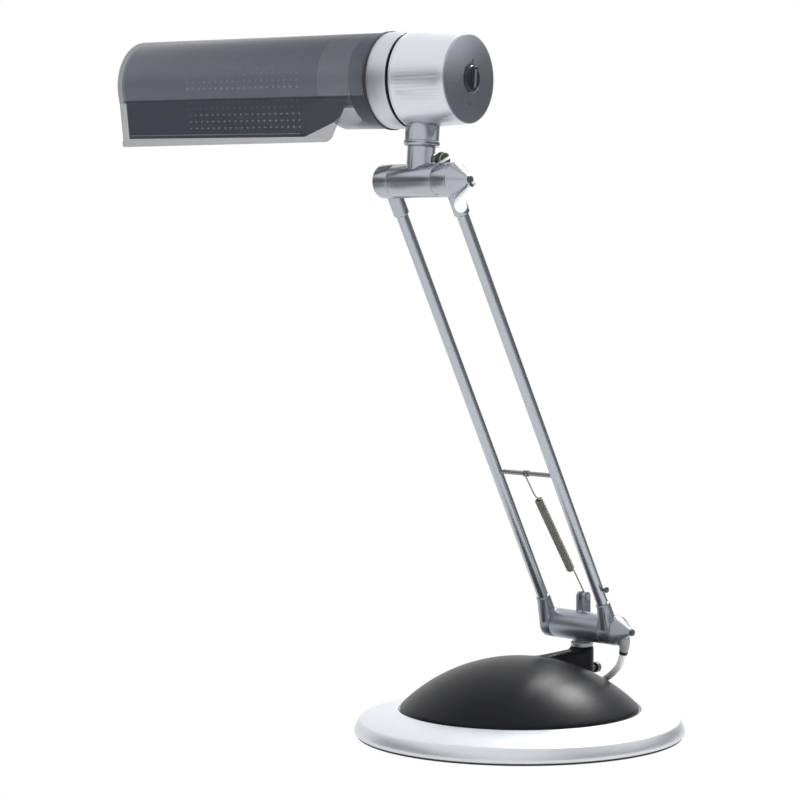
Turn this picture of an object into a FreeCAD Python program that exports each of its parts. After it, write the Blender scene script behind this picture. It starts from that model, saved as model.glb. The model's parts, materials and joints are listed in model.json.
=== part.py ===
import FreeCAD, Part
import math
import os
import Sketcher
from FreeCAD import Placement, Rotation, Vector

# Driving dimensions, in millimetres and degrees
SIZES = {
    # Base disc and what lies under it
    "disc_radius": 115.0,
    "disc_wall": 2.2,
    "edge_gap": 1.4,
    "lip_height": 3.2,
    "bevel_inset": 3.2,
    "bevel_rise": 6.7,
    "step_inset": 30.4,
    "slope_rise": 7.3,
    "seat_depth": 2.0,
    "seat_inner_radius": 60.0,
    "plate_thickness": 1.2,
    "foot_width": 18.4,
    "foot_outset": 0.6,
    "weight_thickness": 6.5,
    "weight_edge": 3.5,
    "weight_hole_radius": 8.0,
    "fastener_circle": 45.0,
    "fastener_angle": 30.0,
    "fastener_reach": 12.0,
    "fastener_radius": 2.0,
    "fastener_head_radius": 3.8,
    "fastener_head_height": 1.1,
    # Black dome with the boss that carries the swivel
    "dome_gap": 1.2,
    "dome_rim": 2.6,
    "dome_rise": 34.3,
    "dome_wall": 2.5,
    "post_radius": 4.5,
    "pivot_inset": 17.9,
    "boss_radius": 8.4,
    "boss_height": 54.3,
    "boss_bottom": 26.0,
    "ridge_start": 10.0,
    "ridge_start_width": 4.0,
    "ridge_start_drop": 1.4,
    "ridge_end_drop": 2.2,
    "ridge_foot": 34.0,
    "ridge_inset": 0.3,
    "lock_height": 37.0,
    "lock_shank_radius": 2.0,
    "lock_head_radius": 3.75,
    "lock_head_length": 5.0,
    "lock_head_crown": 1.8,
    "lock_standoff": 5.1,
    "socket_wall": 1.75,
    # Swivel spindle and the lower joint
    "spindle_radius": 5.0,
    "thread_radius": 4.0,
    "spindle_collar_radius": 8.0,
    "spindle_collar_height": 2.9,
    "nut_height": 3.4,
    "nut_radius": 7.0,
    "washer_thickness": 1.0,
    "pivot_rise": 14.2,
    "lower_radius": 10.5,
    "middle_half": 22.8,
    "knuckle_gap": 0.3,
    "knuckle_end": 34.0,
    "lower_left_end": 32.2,
    "upper_left_end": 34.4,
    "casting_foot_radius": 6.8,
    "axle_radius": 4.0,
    "axle_bore": 2.6,
    "friction_washer_radius": 8.0,
    "friction_washer_proud": 0.2,
    "ear_inner": 1.8,
    "ear_thickness": 2.0,
    "ear_rear": 1.5,
    "ear_half_width": 3.65,
    "ear_pin_height": 21.0,
    "pin_radius": 1.5,
    "pin_head_radius": 2.3,
    "cone_tip": 46.0,
    "cone_tip_radius": 2.2,
    "cone_bore": 1.5,
    "grommet_radius": 2.4,
    "grommet_length": 2.6,
    "grommet_crown": 1.0,
    "nozzle_length": 2.6,
    "end_cap_radius": 6.0,
    "end_cap_thickness": 1.4,
    "end_rounding": 1.6,
    # Arms
    "arm_length": 353.7,
    "arm_lean": 27.2,
    "arm_half_spacing": 28.5,
    "tube_radius": 4.1,
    "tube_wall": 0.8,
    "tube_inset": 12.0,
    "lower_socket_radius": 5.0,
    "lower_socket_reach": 22.8,
    "upper_socket_radius": 5.4,
    "upper_socket_reach": 25.0,
    "fairing_radius": 4.9,
    "fairing_length": 16.0,
    "fairing_forward": 5.0,
    "fairing_bottom": 4.5,
    "fairing_lean": 18.0,
    "crossbar_place": 127.0,
    "crossbar_radius": 1.6,
    "crossbar_notch_radius": 1.0,
    "crossbar_notch_half": 0.8,
    "crossbar_bead_radius": 2.2,
    "crossbar_bead_width": 1.1,
    "crossbar_reach": 2.5,
    "arm_screw_place": 34.5,
    "arm_screw_radius": 1.2,
    "arm_screw_standoff": 4.0,
    "arm_screw_head_radius": 2.1,
    "arm_screw_head_height": 1.4,
    "arm_screw_crown": 0.6,
    "lead_radius": 1.5,
    # Balance spring
    "wire_radius": 0.5,
    "spring_radius": 2.65,
    "spring_pitch": 1.476,
    "spring_turns": 42.0,
    "spring_start": 24.5,
    "hook_gap": 0.1,
    # Upper joint, neck and clamp
    "upper_radius": 11.4,
    "upper_half": 20.5,
    "stem_lean": 5.2,
    "neck_radius": 9.4,
    "neck_height": 33.3,
    "spigot_radius": 5.0,
    "spigot_top": 49.5,
    "stem_bore": 3.2,
    "clip_width": 1.0,
    "clip_radius": 7.0,
    "clip_mouth": 5.0,
    "lug_radius": 4.2,
    "clamp_back": 9.0,
    "clamp_height": 14.5,
    "clamp_head_start": 10.0,
    "clamp_head_height": 4.0,
    "clamp_head_radius": 5.4,
    "clamp_slot_width": 1.8,
    "clamp_slot_depth": 1.6,
    "clamp_slot_angle": 30.0,
    # Head, measured along its own axis from the stem
    "head_height": 67.0,
    "head_swivel": 10.1,
    "sleeve_radius": 11.5,
    "sleeve_foot": 22.6,
    "sleeve_rim_radius": 12.2,
    "sleeve_rim_height": 3.6,
    "sleeve_rim_bevel": 1.2,
    "sleeve_thread_radius": 7.4,
    "sleeve_nut_radius": 11.0,
    "sleeve_nut_height": 3.0,
    "pad_radius": 12.0,
    "pad_height": 3.5,
    "housing_left": -8.0,
    "housing_right": 34.0,
    "housing_radius": 32.0,
    "housing_end_radius": 29.5,
    "housing_wall": 2.4,
    "housing_lip_radius": 32.3,
    "housing_lip_width": 1.5,
    "bearing_left": -24.0,
    "bearing_radius": 30.0,
    "bearing_wall": 2.2,
    "cap_radius": 29.4,
    "cap_edge": 0.7,
    "cap_rise": 3.0,
    "cap_wall": 1.4,
    "cap_spigot": 4.0,
    "knob_radius": 8.75,
    "knob_depth": 2.0,
    "knob_face": 38.4,
    "knob_shaft_radius": 3.0,
    "knob_shaft_end": 22.0,
    "knob_bar_length": 16.0,
    "knob_bar_width": 3.5,
    "knob_bar_face": 40.0,
    "pointer_width": 1.0,
    "pointer_length": 12.0,
    "pointer_depth": 0.3,
    "switch_half": 9.0,
    "switch_length": 20.0,
    "board_thickness": 1.6,
    "board_length": 34.0,
    "board_width": 40.0,
    "choke_size": 12.0,
    "choke_height": 9.0,
    "capacitor_radius": 4.0,
    "capacitor_length": 14.0,
    "holder_plate_thickness": 4.0,
    "holder_left": -42.0,
    "holder_radius": 26.0,
    "lamp_base_width": 32.0,
    "lamp_base_height": 18.0,
    "lamp_base_left": -58.0,
    "lamp_base_depth": 10.0,
    "lamp_end": -203.0,
    "lamp_tube_radius": 6.1,
    "lamp_tube_spacing": 14.6,
    "lamp_bridge_radius": 3.2,
    "lamp_bridge_inset": 10.0,
    "lamp_pin_radius": 1.15,
    "lamp_pin_length": 6.0,
    "lamp_pin_spacing": 23.0,
    # Shade
    "ring_left": -26.0,
    "ring_right": -10.0,
    "ring_radius": 32.3,
    "ring_flange": 1.5,
    "seal_left": -42.0,
    "seal_radius": 33.0,
    "seal_rim": 2.0,
    "seal_bore": 28.7,
    "shade_left": -244.0,
    "shade_radius": 32.0,
    "shade_wall": 2.2,
    "collar_left": -64.0,
    "fold_angle": 25.0,
    "skirt_offset": 29.6,
    "skirt_bottom": -44.0,
    "skirt_top_right": -42.0,
    "skirt_bottom_right": -58.0,
    "skirt_corner": 6.0,
    "skirt_lip": 1.0,
    "skirt_lip_height": 4.0,
    "far_lip": 1.2,
    "reflector_left": -236.0,
    "reflector_right": -53.0,
    "reflector_wall": 0.8,
    "reflector_flap_inset": 0.5,
    "reflector_flap_bottom": -35.0,
    "reflector_flap_right": -64.5,
    # Mains lead, its boot, its coil and its plug
    "cord_radius": 2.5,
    "boot_radius": 4.2,
    "boot_end_radius": 2.9,
    "boot_ring_length": 2.0,
    "boot_ring_radius": 3.2,
    "coil_pitch": 5.5,
    "coil_radius": 40.3,
    "coil_turns": 8.96,
    "coil_start_angle": 60.0,
    "coil_centre_back": 113.0,
    "coil_centre_left": -116.0,
    "plug_length": 33.0,
    "plug_width": 25.0,
    "plug_height": 12.6,
    "plug_neck": 12.0,
    "plug_neck_radius": 4.6,
    "plug_pin_radius": 2.0,
    "plug_pin_length": 19.0,
    "plug_pin_spacing": 18.6,
    # Clearances
    "running": 0.05,
    "seating": 0.02,
    "free": 0.3,
}

# Route of the mains lead from the boot to the coil, chosen by hand
CORD_ROUTE = [
    (38.0, 66.23, 52.27),
    (35.6, 66.53, 44.67),
    (29.0, 67.8, 39.0),
    (20.5, 71.5, 33.8),
    (9.5, 78.2, 29.3),
    (-3.5, 87.5, 26.0),
    (-18.5, 98.8, 22.5),
    (-33.0, 110.5, 17.0),
    (-47.5, 120.8, 9.2),
    (-63.5, 130.0, 3.3),
    (-79.2, 138.76, 2.5),
]

# Route of the lead from the coil's upper layer to the plug, chosen by hand
PLUG_ROUTE = [
    (-94.06, 148.27, 7.9),
    (-98.56, 159.4, 7.5),
    (-107.04, 167.88, 6.9),
    (-118.16, 172.38, 6.5),
    (-129.16, 172.38, 6.3),
    (-138.56, 168.96, 6.3),
    (-144.95, 164.15, 6.3),
]

# Middle line of the boot, in the lower joint's frame: start, pull and end
BOOT_LINE = [(39.2, 0.5, -4.5), (39.8, 0.5, -10.5), (38.6, 0.65, -14.3)]

# Visible lead at the upper joint, in the arm's frame from the pivot, and its turn into the tube
LOOP_ROUTE = [(46.8, -0.8, -3.9), (38.0, -4.0, -10.8)]
LOOP_ENTRY_DROP = 21.0
LOOP_BEND = 8.0

UPRIGHT = Rotation()
ALONG_X = Rotation(Vector(0, 1, 0), 90)
ALONG_Y = Rotation(Vector(1, 0, 0), -90)
DOWNWARD = Rotation(Vector(1, 0, 0), 180)
NOWHERE = (0, 0, 0)


class Size:
    """A number together with the sheet expression that gives it."""

    def __init__(self, value, text):
        self.value = value
        self.text = text

    def __float__(self):
        return float(self.value)

    def __add__(self, other):
        return combine(self, "+", other, float(self) + float(other))

    def __radd__(self, other):
        return combine(other, "+", self, float(other) + float(self))

    def __sub__(self, other):
        return combine(self, "-", other, float(self) - float(other))

    def __rsub__(self, other):
        return combine(other, "-", self, float(other) - float(self))

    def __mul__(self, other):
        return combine(self, "*", other, float(self) * float(other))

    def __rmul__(self, other):
        return combine(other, "*", self, float(other) * float(self))

    def __truediv__(self, other):
        return combine(self, "/", other, float(self) / float(other))

    def __neg__(self):
        return 0 - self


def wording(value):
    """Expression text of a Size or of a plain number."""
    return value.text if isinstance(value, Size) else repr(float(value))


def combine(left, sign, right, value):
    return Size(value, "(" + wording(left) + " " + sign + " " + wording(right) + ")")


def root(value):
    return Size(math.sqrt(float(value)), "sqrt(" + wording(value) + ")")


def sine(angle):
    return Size(math.sin(math.radians(float(angle))), "sin(" + wording(angle) + " * 1 deg)")


def cosine(angle):
    return Size(math.cos(math.radians(float(angle))), "cos(" + wording(angle) + " * 1 deg)")


class Sheet:
    """The spreadsheet of driving dimensions, each read back as a Size."""

    def __init__(self, document, sizes):
        self.sheet = document.addObject("Spreadsheet::Sheet", "Sizes")
        for row, (alias, value) in enumerate(sizes.items(), start=1):
            self.sheet.set("A" + str(row), alias)
            self.sheet.set("B" + str(row), str(value))
            self.sheet.setAlias("B" + str(row), alias)
        document.recompute()

    def __getattr__(self, alias):
        value = getattr(self.sheet, alias)
        return Size(float(value), "Sizes." + alias)


doc = FreeCAD.newDocument("DeskLamp")
s = Sheet(doc, SIZES)
pieces = {}


def bind(obj, name, value):
    """Ties one property, or one constraint, to the sheet."""
    if isinstance(value, Size):
        obj.setExpression(name, value.text)
    else:
        setattr(obj, name, value)


def put(obj, at, turn=UPRIGHT):
    """Places an object in its own frame, with its position tied to the sheet."""
    obj.Placement = Placement(Vector(*[float(value) for value in at]), turn)
    for axis, value in zip("xyz", at):
        if isinstance(value, Size):
            obj.setExpression("Placement.Base." + axis, value.text)
    return obj


def piece(obj, label, frame):
    """Keeps an object as a finished piece, standing in one of the lamp's frames."""
    if obj.Placement.isIdentity():
        obj.Placement = frame
    else:
        obj = group([obj])
        obj.Placement = frame
    obj.Label = label
    pieces[label] = obj
    return obj


def make(kind, name, **properties):
    obj = doc.addObject(kind, name)
    for key, value in properties.items():
        bind(obj, key, value)
    return obj


def cylinder(radius, height, at=NOWHERE, turn=UPRIGHT):
    return put(make("Part::Cylinder", "Cylinder", Radius=radius, Height=height), at, turn)


def box(length, width, height, at=NOWHERE, turn=UPRIGHT):
    return put(make("Part::Box", "Box", Length=length, Width=width, Height=height), at, turn)


def ball(radius, at):
    return put(make("Part::Sphere", "Ball", Radius=radius), at)


def fuse(*shapes):
    return make("Part::MultiFuse", "Fusion", Shapes=list(shapes), Refine=True)


def cut(base, *tools):
    tool = tools[0] if len(tools) == 1 else fuse(*tools)
    return make("Part::Cut", "Cut", Base=base, Tool=tool, Refine=True)


def group(shapes):
    return make("Part::Compound", "Group", Links=list(shapes))


def origin_plane(body, role):
    return next(plane for plane in body.Origin.OriginFeatures if plane.Role == role)


def edge_between(start, end, radius):
    """A line, or an arc of the given radius that bulges to the right of its run."""
    if not radius:
        return Part.LineSegment(start, end)
    half = (end - start).Length / 2
    rise = float(radius) - math.sqrt(float(radius) ** 2 - half ** 2)
    along = (end - start).normalize()
    side = Vector(along.y, -along.x, 0)
    return Part.Arc(start, (start + end) * 0.5 + side * rise, end)


def draw_outline(sketch, corners):
    """Draws a closed outline whose corners, and arcs' radii, follow the sheet."""
    points = [Vector(float(corner[0]), float(corner[1]), 0) for corner in corners]
    radii = [corner[2] if len(corner) > 2 else None for corner in corners]
    count = len(points)
    for index in range(count):
        following = points[(index + 1) % count]
        sketch.addGeometry(edge_between(points[index], following, radii[index]), False)
    for index in range(count):
        sketch.addConstraint(Sketcher.Constraint("Coincident", index, 2, (index + 1) % count, 1))
    for index, corner in enumerate(corners):
        pin_corner(sketch, index, corner)
        if radii[index]:
            add_size(sketch, Sketcher.Constraint("Radius", index, float(radii[index])), radii[index])


def pin_corner(sketch, index, corner):
    """Holds one corner at its two coordinates, on an axis where one is zero."""
    for kind, axis, value in (("DistanceX", -2, corner[0]), ("DistanceY", -1, corner[1])):
        if isinstance(value, Size):
            add_size(sketch, Sketcher.Constraint(kind, -1, 1, index, 1, float(value)), value)
        elif value == 0:
            sketch.addConstraint(Sketcher.Constraint("PointOnObject", index, 1, axis))
        else:
            sketch.addConstraint(Sketcher.Constraint(kind, -1, 1, index, 1, float(value)))


def add_size(sketch, constraint, value):
    number = sketch.addConstraint(constraint)
    if isinstance(value, Size):
        sketch.setExpression("Constraints[" + str(number) + "]", value.text)


def sketched_body(plane, corners):
    body = doc.addObject("PartDesign::Body", "Body")
    sketch = body.newObject("Sketcher::SketchObject", "Outline")
    sketch.AttachmentSupport = [(origin_plane(body, plane), "")]
    sketch.MapMode = "FlatFace"
    draw_outline(sketch, corners)
    return body, sketch


def turned(corners, at=NOWHERE, turn=UPRIGHT):
    """A turned piece: corners are radius, place along the axis and any arc's radius."""
    body, sketch = sketched_body("XZ_Plane", corners)
    feature = body.newObject("PartDesign::Revolution", "Turning")
    feature.Profile = sketch
    feature.ReferenceAxis = (sketch, ["V_Axis"])
    feature.Angle = 360
    return put(body, at, turn)


def padded(corners, height, plane="XY_Plane", at=NOWHERE, turn=UPRIGHT):
    """A flat outline given an even thickness to both sides of its plane."""
    body, sketch = sketched_body(plane, corners)
    feature = body.newObject("PartDesign::Pad", "Thickness")
    feature.Profile = sketch
    feature.SideType = "Symmetric"
    bind(feature, "Length", height)
    return put(body, at, turn)


def tube(outer, inner, bottom, top, at=NOWHERE, turn=UPRIGHT):
    return turned([(inner, bottom), (outer, bottom), (outer, top), (inner, top)], at, turn)


def rod(radius, bottom, top, at=NOWHERE, turn=UPRIGHT):
    return turned([(0, bottom), (radius, bottom), (radius, top), (0, top)], at, turn)


def crown_radius(radius, rise):
    """Radius of the ball that closes a round end of the given radius with the given rise."""
    return (radius * radius + rise * rise) / (2 * rise)


def around(radius, count, start):
    """Places evenly spaced on a circle, as pairs of coordinates."""
    angles = [start + 360.0 * number / count for number in range(count)]
    return [(radius * cosine(angle), radius * sine(angle)) for angle in angles]


def tangent_arc(start, corner, end):
    """The arc that leaves start and reaches end along the two runs to the corner."""
    middle = (start + end) * 0.5
    share = math.cos((corner - start).getAngle(end - corner) / 2)
    return Part.Arc(start, middle + (corner - middle) * (share / (1 + share)), end)


def rounded_path(points, radii=None):
    """Straight runs joined by tangent arcs, each as large as its two runs allow."""
    edges = []
    used = []
    start = points[0]
    for index in range(1, len(points) - 1):
        corner = points[index]
        before = corner - points[index - 1]
        after = points[index + 1] - corner
        half_turn = before.getAngle(after) / 2
        reach = 0.45 * min(before.Length, after.Length)
        if radii:
            reach = radii[index - 1] * math.tan(half_turn)
        used.append(reach / math.tan(half_turn))
        arc_start = corner - before.normalize() * reach
        arc_end = corner + after.normalize() * reach
        edges.append(Part.LineSegment(start, arc_start).toShape())
        edges.append(tangent_arc(arc_start, corner, arc_end).toShape())
        start = arc_end
    edges.append(Part.LineSegment(start, points[-1]).toShape())
    return edges, used


def biarc(start, leaving, end, arriving):
    """Two arcs from start to end with the given unit directions at both."""
    chord = end - start
    both = leaving + arriving
    square = both.dot(both) - 4
    slope = -2 * chord.dot(both)
    reach = (-slope - math.sqrt(slope ** 2 - 4 * square * chord.dot(chord))) / (2 * square)
    first = start + leaving * reach
    second = end - arriving * reach
    middle = (first + second) * 0.5
    return [tangent_arc(start, first, middle).toShape(), tangent_arc(middle, second, end).toShape()]


def swept(edges, radius):
    """A round tube or wire along a chain of tangent edges."""
    path = Part.Wire(edges)
    first = edges[0]
    start = first.valueAt(first.FirstParameter)
    direction = first.tangentAt(first.FirstParameter)
    ring = Part.Wire([Part.Circle(start, direction, radius).toShape()])
    solid = path.makePipeShell([ring], True, False)
    return Part.Solid(solid) if solid.ShapeType == "Shell" else solid


def free_shape(shape, label, frame=Placement()):
    obj = doc.addObject("Part::Feature", "Free")
    obj.Shape = shape
    obj.Placement = frame
    obj.Label = label
    pieces[label] = obj
    return obj


def path_points(edges, step):
    """Points along a chain of edges, with each one's distance from the start."""
    points = []
    travelled = 0.0
    for edge in edges:
        count = max(2, int(edge.Length / step))
        for number in range(count):
            share = number / count
            along = edge.Length * share
            points.append((travelled + along, edge.getParameterByLength(along), edge))
        travelled += edge.Length
    return [(distance, edge.valueAt(parameter)) for distance, parameter, edge in points]


def least_gap(edges, radius, step):
    """Least clearance between stretches of a tube that are well apart along it."""
    points = path_points(edges, step)
    apart = 5 * radius
    cells = {}
    for distance, point in points:
        key = tuple(int(math.floor(value / apart)) for value in point)
        cells.setdefault(key, []).append((distance, point))
    least = 1e9
    for distance, point in points:
        key = [int(math.floor(value / apart)) for value in point]
        for offset in range(27):
            near = (key[0] + offset % 3 - 1, key[1] + offset // 3 % 3 - 1, key[2] + offset // 9 - 1)
            for other_distance, other in cells.get(near, []):
                if other_distance - distance > apart * 1.3:
                    least = min(least, point.distanceToPoint(other))
    return least - 2 * radius


def report_tube(name, shape, edges, radius):
    length = sum(edge.Length for edge in edges)
    share = shape.Volume / (math.pi * radius ** 2 * length)
    print(name, "length", round(length, 1), "volume against section times length", round(share, 4))


# Heights and radii that several pieces share
lip_top = s.edge_gap + s.lip_height
bevel_radius = s.disc_radius - s.bevel_inset
bevel_top = lip_top + s.bevel_rise
step_radius = s.disc_radius - s.step_inset
step_top = bevel_top + s.slope_rise
seat_top = step_top - s.seat_depth
seat_bottom = seat_top - s.disc_wall
plate_top = s.edge_gap + s.plate_thickness
plate_radius = s.disc_radius - s.disc_wall - s.free
weight_top = plate_top + s.weight_thickness
dome_radius = step_radius - s.dome_gap
pivot_back = dome_radius - s.pivot_inset
dome_rim_top = seat_top + s.dome_rim
dome_top = dome_rim_top + s.dome_rise
dome_ball = (dome_radius * dome_radius + s.dome_rise * s.dome_rise) / (2 * s.dome_rise)
dome_centre = dome_top - dome_ball
socket_radius = s.spindle_radius + s.running + s.socket_wall
socket_bottom = s.boss_bottom - 0.5
spindle_shoulder = socket_bottom - 0.1
spindle_collar_bottom = s.boss_height + 0.1
spindle_collar_top = spindle_collar_bottom + s.spindle_collar_height
pivot_height = s.boss_height + s.pivot_rise
casting_foot_top = pivot_height - s.lower_radius * 0.6
axle_bore_radius = s.axle_radius + s.running
tube_bore = s.tube_radius - s.tube_wall
tube_hole_radius = s.tube_radius + s.seating
tube_top = s.arm_length - s.tube_inset

# Frames: the base, the lower pivot, the arms, the upper pivot and the head
LEAN = Rotation(Vector(1, 0, 0), float(s.arm_lean))
STEM = Rotation(Vector(1, 0, 0), -float(s.stem_lean))
SWIVEL = Rotation(Vector(0, 0, 1), float(s.head_swivel))
BASE = Placement()
AXIS = Placement(Vector(0, float(pivot_back), 0), UPRIGHT)
PIVOT = Placement(Vector(0, float(pivot_back), float(pivot_height)), UPRIGHT)
ARM = PIVOT.multiply(Placement(Vector(), LEAN))
UPPER = ARM.multiply(Placement(Vector(0, 0, float(s.arm_length)), UPRIGHT))
TOP = Placement(ARM.multVec(Vector(0, 0, float(s.arm_length))), STEM)
HEAD = TOP.multiply(Placement(Vector(0, 0, float(s.head_height)), SWIVEL))


def base_disc():
    under = bevel_top - s.disc_wall
    inside = s.disc_radius - s.disc_wall
    corners = [
        (inside, s.edge_gap), (s.disc_radius, s.edge_gap), (s.disc_radius, lip_top),
        (bevel_radius, bevel_top), (step_radius, step_top), (step_radius, seat_top),
        (s.seat_inner_radius, seat_top), (s.seat_inner_radius, seat_bottom),
        (step_radius, seat_bottom), (bevel_radius - s.disc_wall, under), (inside, lip_top),
    ]
    piece(turned(corners), "base_disc", BASE)


def fastener_holes(bottom, height, extra):
    radius = s.fastener_radius + extra
    return [cylinder(radius, height, (x, y, bottom)) for x, y in fastener_places()]


def fastener_places():
    return around(s.fastener_circle, 3, s.fastener_angle)


def base_weight():
    outside = plate_radius - s.weight_edge
    corners = [
        (s.weight_hole_radius, plate_top), (outside, plate_top), (outside, weight_top - s.weight_edge / 2),
        (outside - s.weight_edge, weight_top), (s.weight_hole_radius, weight_top),
    ]
    holes = fastener_holes(plate_top - 1, weight_top, s.free)
    piece(cut(turned(corners), *holes), "base_weight", BASE)


def base_plate():
    holes = fastener_holes(s.edge_gap - 1, s.plate_thickness + 2, s.free)
    piece(cut(rod(plate_radius, s.edge_gap, plate_top), *holes), "base_plate", BASE)


def foot_ring():
    outer = s.disc_radius - s.disc_wall + s.foot_outset
    piece(tube(outer, outer - s.foot_width, 0, s.edge_gap), "foot_ring", BASE)


def base_screws():
    top = weight_top + s.fastener_reach
    head_bottom = s.edge_gap - s.fastener_head_height
    corners = [
        (0, head_bottom), (s.fastener_head_radius - 0.6, head_bottom),
        (s.fastener_head_radius, head_bottom + 0.5), (s.fastener_head_radius, s.edge_gap),
        (s.fastener_radius, s.edge_gap), (s.fastener_radius, top), (0, top),
    ]
    screws = [turned(corners, (x, y, 0)) for x, y in fastener_places()]
    piece(group(screws), "base_screws", BASE)


def dome_cap(radius, rim, ball_radius):
    """A solid cap under the dome's ball, standing on the disc's seat."""
    corners = [(0, seat_top), (radius, seat_top), (radius, rim, ball_radius), (0, dome_centre + ball_radius)]
    return turned(corners)


def dome_cover():
    inner_radius = dome_radius - s.dome_wall
    inner_ball = dome_ball - s.dome_wall
    inner_rim = dome_centre + root(inner_ball * inner_ball - inner_radius * inner_radius)
    outside = fuse(dome_cap(dome_radius, dome_rim_top, dome_ball), dome_boss(), ridge())
    hollow = cut(dome_cap(inner_radius, inner_rim, inner_ball), dome_boss())
    post_edge = s.fastener_circle + s.post_radius
    post_top = dome_centre + root(dome_ball * dome_ball - post_edge * post_edge) - 0.3
    height = post_top - weight_top
    posts = [cylinder(s.post_radius, height, (x, y, weight_top)) for x, y in fastener_places()]
    bore = cylinder(socket_radius, s.boss_height, (0, pivot_back, s.boss_bottom - 10))
    threads = fastener_holes(weight_top - 1, s.fastener_reach + 2, s.seating)
    lock_bore = cylinder(s.lock_shank_radius + s.running, s.boss_radius + 2,
                         (0, pivot_back, s.lock_height), ALONG_Y)
    piece(cut(fuse(cut(outside, hollow), *posts), bore, lock_bore, *threads), "dome_cover", BASE)


def dome_boss():
    return cylinder(s.boss_radius, s.boss_height - s.boss_bottom, (0, pivot_back, s.boss_bottom))


def ridge():
    """The spine that rises from the top of the dome to the boss, as wide as it there."""
    wedge = doc.addObject("Part::Wedge", "Ridge")
    sides = {
        "Ymin": s.ridge_start, "Ymax": pivot_back,
        "Zmin": s.ridge_foot, "Zmax": dome_top - s.ridge_start_drop,
        "Z2min": s.ridge_foot, "Z2max": s.boss_height - s.ridge_end_drop,
        "Xmin": -s.ridge_start_width / 2, "Xmax": s.ridge_start_width / 2,
        "X2min": s.ridge_inset - s.boss_radius, "X2max": s.boss_radius - s.ridge_inset,
    }
    for name, value in sides.items():
        bind(wedge, name, value)
    return wedge


def pivot_socket():
    bush = tube(socket_radius, s.spindle_radius + s.running, socket_bottom, s.boss_height)
    lock_bore = cylinder(s.lock_shank_radius + s.running, socket_radius + 1, (0, 0, s.lock_height), ALONG_Y)
    piece(cut(bush, lock_bore), "pivot_socket", AXIS)


def lock_screw():
    head_start = s.boss_radius + s.lock_standoff
    head_end = head_start + s.lock_head_length
    crown = crown_radius(s.lock_head_radius, s.lock_head_crown)
    corners = [
        (0, s.spindle_radius + 0.1), (s.lock_shank_radius, s.spindle_radius + 0.1),
        (s.lock_shank_radius, head_start), (s.lock_head_radius, head_start),
        (s.lock_head_radius, head_end - s.lock_head_crown, crown), (0, head_end),
    ]
    piece(turned(corners, (0, 0, s.lock_height), ALONG_Y), "lock_screw", AXIS)


def swivel_spindle():
    thread_end = spindle_shoulder - s.washer_thickness - s.nut_height - 1
    corners = [
        (0, thread_end), (s.thread_radius, thread_end), (s.thread_radius, spindle_shoulder),
        (s.spindle_radius, spindle_shoulder), (s.spindle_radius, spindle_collar_bottom),
        (s.spindle_collar_radius, spindle_collar_bottom), (s.spindle_collar_radius, spindle_collar_top - 0.5),
        (s.spindle_collar_radius - 0.5, spindle_collar_top), (s.thread_radius, spindle_collar_top),
        (s.thread_radius, casting_foot_top), (0, casting_foot_top),
    ]
    piece(turned(corners), "swivel_spindle", AXIS)


def spindle_washer():
    bottom = spindle_shoulder - s.washer_thickness
    washer = tube(socket_radius, s.thread_radius + s.seating, bottom, spindle_shoulder)
    piece(washer, "spindle_washer", AXIS)


def hexagon_nut(radius, bore, height, at):
    prism = make("Part::Prism", "Hexagon", Polygon=6, Circumradius=radius, Height=height)
    return cut(put(prism, at), cylinder(bore, height + 2, (at[0], at[1], at[2] - 1)))


def spindle_nut():
    bottom = spindle_shoulder - s.washer_thickness - s.nut_height
    nut = hexagon_nut(s.nut_radius, s.thread_radius + s.seating, s.nut_height, (0, 0, bottom))
    piece(nut, "spindle_nut", AXIS)


def swivel_casting():
    half = s.middle_half
    barrel = rod(s.lower_radius, -half, half, NOWHERE, ALONG_X)
    foot_bottom = spindle_collar_top - pivot_height
    foot = cylinder(s.casting_foot_radius, s.lower_radius * 0.8, (0, 0, foot_bottom))
    ears = [ear(-s.ear_inner - s.ear_thickness), ear(s.ear_inner)]
    spindle_hole = cylinder(s.thread_radius + s.seating, casting_foot_top - spindle_collar_top + 0.2,
                            (0, 0, foot_bottom - 0.1))
    reach = s.ear_inner + s.ear_thickness + 1
    pin_hole = cylinder(s.pin_radius + s.seating, reach * 2, (-reach, s.ear_rear, s.ear_pin_height), ALONG_X)
    bore = cylinder(axle_bore_radius, half * 2 + 2, (-half - 1, 0, 0), ALONG_X)
    solid = cut(fuse(barrel, foot, *ears), bore, spindle_hole, pin_hole, *washer_seats(half))
    piece(solid, "swivel_casting", PIVOT)


def ear(left):
    """One side of the spring's clevis: a plate with a round top."""
    width = s.ear_half_width * 2
    plate = box(s.ear_thickness, width, s.ear_pin_height - s.axle_radius - 2,
                (left, s.ear_rear - s.ear_half_width, s.axle_radius + 2))
    top = cylinder(s.ear_half_width, s.ear_thickness, (left, s.ear_rear, s.ear_pin_height), ALONG_X)
    return fuse(plate, top)


def washer_seats(half):
    radius = s.friction_washer_radius + s.seating
    depth = s.washer_thickness - s.friction_washer_proud
    left = cylinder(radius, depth + 1, (-half - 1, 0, 0), ALONG_X)
    right = cylinder(radius, depth + 1, (half - depth, 0, 0), ALONG_X)
    return [left, right]


def friction_washers(half, label, frame):
    """A pair of washers, one let into each end of a joint's middle."""
    outer = half + s.friction_washer_proud
    inner = outer - s.washer_thickness
    bore = axle_bore_radius
    right = tube(s.friction_washer_radius, bore, inner, outer, NOWHERE, ALONG_X)
    left = tube(s.friction_washer_radius, bore, -outer, -inner, NOWHERE, ALONG_X)
    piece(group([left, right]), label, frame)


def cap_seat(left_end):
    return left_end - s.end_cap_thickness


def joint_axle(label, frame, along, left_end):
    left = s.free - cap_seat(left_end)
    axle = tube(s.axle_radius, s.axle_bore, left, s.knuckle_end + 2, (0, 0, along), ALONG_X)
    piece(axle, label, frame)


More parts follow.
